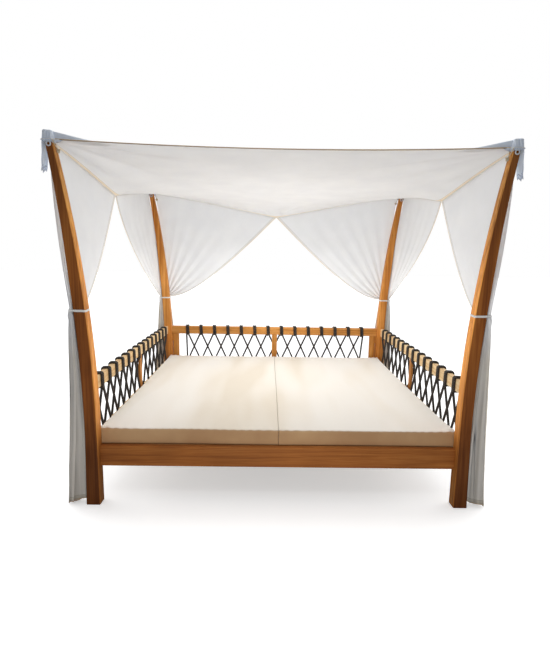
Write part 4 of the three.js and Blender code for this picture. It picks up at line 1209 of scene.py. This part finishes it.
def hood_grid(sign_x, sign_y, flap_drop):
    """Rows of points from the peak outward, one column for each direction, in the right front corner."""
    turn = np.linspace(0, 2 * np.pi, 193)[:-1][None, :]
    run = np.linspace(0, 1, 37)[1:, None]
    degrees = np.degrees(turn)
    ex, ey = np.cos(turn), np.sin(turn)
    snug = (np.abs(ex / np.where(ex > 0, snug_out, snug_in)) ** 4 + np.abs(ey / snug_side) ** 4) ** -0.25
    inward = eased(degrees, 170, 190) * (1 - eased(degrees, 260, 280))
    outer = eased(np.cos(turn + 0.12), 0.5, 0.85)

    over, down = np.clip(run / 0.3, 0, 1), np.clip((run - 0.3) / 0.7, 0, 1)
    hem = post_height - 0.046 - flap_drop * outer
    hem = hem + 0.006 * np.sin(9 * turn) * outer + 0.003 * np.sin(17 * turn)
    shoulder = hood_peak - 0.008
    snug = snug * (1 - 0.24 * (1 - down) * (ex < 0))
    out_r = snug * (1 - (1 - over) ** 2) + 0.0022 * down + 0.013 * outer * down ** 2
    out_r = out_r + down * (0.0013 * (1 + np.sin(14 * turn + 3 * down)) + 0.0012 * np.sin(31 * turn))
    out_z = hood_peak - 0.008 * over ** 3 - (shoulder - hem) * down

    wing = np.exp(-((degrees - wing_degrees) / wing_half_width) ** 2) if flap_drop > 0.1 else 0.0
    reach = slope_reach + 0.004 * np.sin(5 * turn) + wing_reach * wing
    in_r = 0.008 + (reach - 0.008) * run ** 0.9
    end_z = canopy_top(sign_x * (tip_x + reach * ex), sign_y * (tip_y + reach * ey)) + above_sheet
    in_z = end_z + (hood_peak - 0.003 - end_z) * (1 - run) ** (1.7 - 0.4 * wing)
    in_z = in_z + 0.0015 * np.sin(19 * turn) * np.sin(np.pi * run)

    r = out_r + (in_r - out_r) * inward
    z = out_z + (in_z - out_z) * inward
    x, y = tip_x + r * ex, tip_y + r * ey
    cloth_below = canopy_top(sign_x * x, sign_y * y) + above_sheet
    z = np.where(inward > 0.3, np.maximum(z, cloth_below), z)
    return np.stack([x, y, z], axis=2), turn, run


def hood_piece(name, sign_x, sign_y, flap_drop):
    """Closes the hood's grid at the peak and round the rim, and gives the piece with its area."""
    grid, turn, run = hood_grid(sign_x, sign_y, flap_drop)
    grid = at_corner(grid, sign_x, sign_y)
    peak = at_corner([(tip_x, tip_y, hood_peak)], sign_x, sign_y)[0]
    if sign_x * sign_y > 0:
        grid = grid[:, ::-1]
    wrapped = np.concatenate([grid[:, -1:], grid, grid[:, :1]], axis=1)
    normals = surface_normals(wrapped)[:, 1:-1]
    rows, columns = grid.shape[:2]
    half = hood_half_thickness
    points = np.concatenate([
        (grid + normals * half).reshape(-1, 3), (grid - normals * half).reshape(-1, 3),
        [peak + (0, 0, half), peak - (0, 0, half)]])
    behind, top, bottom = rows * columns, 2 * rows * columns, 2 * rows * columns + 1
    faces = []
    for j in range(columns):
        k = (j + 1) % columns
        faces += [(top, j, k), (bottom, behind + k, behind + j)]
        for i in range(rows - 1):
            a, b, c, d = i * columns + j, i * columns + k, (i + 1) * columns + k, (i + 1) * columns + j
            faces += [(a, d, c, b), (a + behind, b + behind, c + behind, d + behind)]
        a, b = (rows - 1) * columns + j, (rows - 1) * columns + k
        faces.append((a, a + behind, b + behind, b))
    flat = np.stack(np.broadcast_arrays(turn * 0.05, run * 0.12), axis=2).reshape(-1, 2)
    rim = np.broadcast_to((1 - run) * 0.1, (rows, columns)).ravel()
    uv = np.concatenate([flat, flat, [(0, 0), (0, 0)]])
    gaps = np.concatenate([rim, rim, [0.1, 0.1]])
    hood = finished(name, points, faces, uv, hood_cloth_painted_shade, edge_gap=gaps)
    area = sum(face.area for face in hood.data.polygons) / 2
    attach(hood, "frame")
    return hood, area


# %% Hood pieces
for end_name, sign_y, drop, cut, cut_area in (
        ("front", -1, 0.135, (0.42, 0.22), 0.038), ("back", 1, 0.05, (0.2, 0.16), 0.021)):
    for side_name, sign_x in left_and_right:
        hood, area = hood_piece(f"cap_{end_name}_{side_name}", sign_x, sign_y, drop)
        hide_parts(f"hood_{end_name}_{side_name}")
        print(hood.name, "area", round(area, 4))

# %% [markdown]
# ## Lashings
# A white rope binds the hood to the tip and holds a small ring against the post's face. A beige cord comes
# down the inner edge from under the hood and ends in a knot, where the taped edge of the canopy starts.
# They are short round ropes, so they use the same tube and braid as the lacing.

# %% Lashing pieces
white_rope = cord_finish("white rope", paint(176, 182, 190), paint(238, 240, 243), 0.006)
beige_cord = cord_finish("beige cord", paint(170, 152, 122), paint(224, 210, 182), 0.006)
wrap_cord, ring_cord, lead_cord, knot_cord = 0.0026, 0.0033, 0.0024, 0.003
ring_radius, wrap_bend, knot_size = 0.0105, 0.014, 0.009
ring_z = post_height - 0.052
ring_x = (float(post_inner(ring_z)) + float(post_outer(ring_z))) / 2
inner_x = float(post_inner(ring_z))
angles = np.arange(28) * 2 * np.pi / 28
for end_name, sign_y in (("front", -1), ("back", 1)):
    face_y = half_depth if sign_y < 0 else half_depth - float(post_depth(ring_z))
    out = 1 if sign_y < 0 else -1
    wrap = round_loop(
        tip_x - 0.038, tip_x + 0.0275, tip_y - 0.0345, tip_y + 0.0345, wrap_bend, post_height - 0.034)
    wrap[:, 2] += 0.003 * np.sin(np.arange(len(wrap)) * 2 * np.pi / len(wrap))
    ring = [(ring_x + ring_radius * math.cos(a), face_y + out * (0.0042 + 0.0016 * math.sin(a)),
             ring_z + ring_radius * math.sin(a)) for a in angles]
    knot_at = np.array((inner_x - 0.022, half_depth - 0.012, post_height - 0.084))
    start = np.array((tip_x - 0.030, tip_y + 0.030, post_height - 0.030))
    bend = np.array((tip_x - 0.040, tip_y + 0.022, post_height - 0.062))
    lead = [curve(start, bend, knot_at + (0.002, 0, 0.008), t) for t in np.linspace(0, 1, 14)]
    for side_name, sign_x in left_and_right:
        for title, ropes in (
                ("lashing", (("wrap", wrap, wrap_cord, white_rope, 10, True),
                             ("ring", ring, ring_cord, white_rope, 12, True))),
                ("knot", (("lead", lead, lead_cord, beige_cord, 10, False),
                          ("knot", knot_path(knot_at, knot_size), knot_cord, beige_cord, 10, False)))):
            parts = [
                rope(part, at_corner(line, sign_x, sign_y), radius, finish, sides, closed)[0]
                for part, line, radius, finish, sides, closed in ropes]
            one_piece(f"{title}_{end_name}_{side_name}", parts)
print("ring at", round(ring_x, 3), round(ring_z, 3))

# %% [markdown]
# ## Front hem
# The canopy's front edge is rolled round a thin line that keeps it straight, and shows as a brown edge. It
# is a slim round welt along the sheet's own front row of points, just below it.

# %% Front hem piece
inside = np.abs(sheet_x) < hood_inner_x - hood_gap
welt_radius = 0.0022
welt_path = canopy_grid[0][inside] + (0, 0.001, -0.0026)
welt_finish = cord_finish("hem welt", paint(138, 116, 96), paint(178, 154, 132), 0.004)
welt, length = rope("canopy_front_welt", welt_path, welt_radius, welt_finish, 8)
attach(welt, "frame")
print("front welt", round(length, 2), "m")
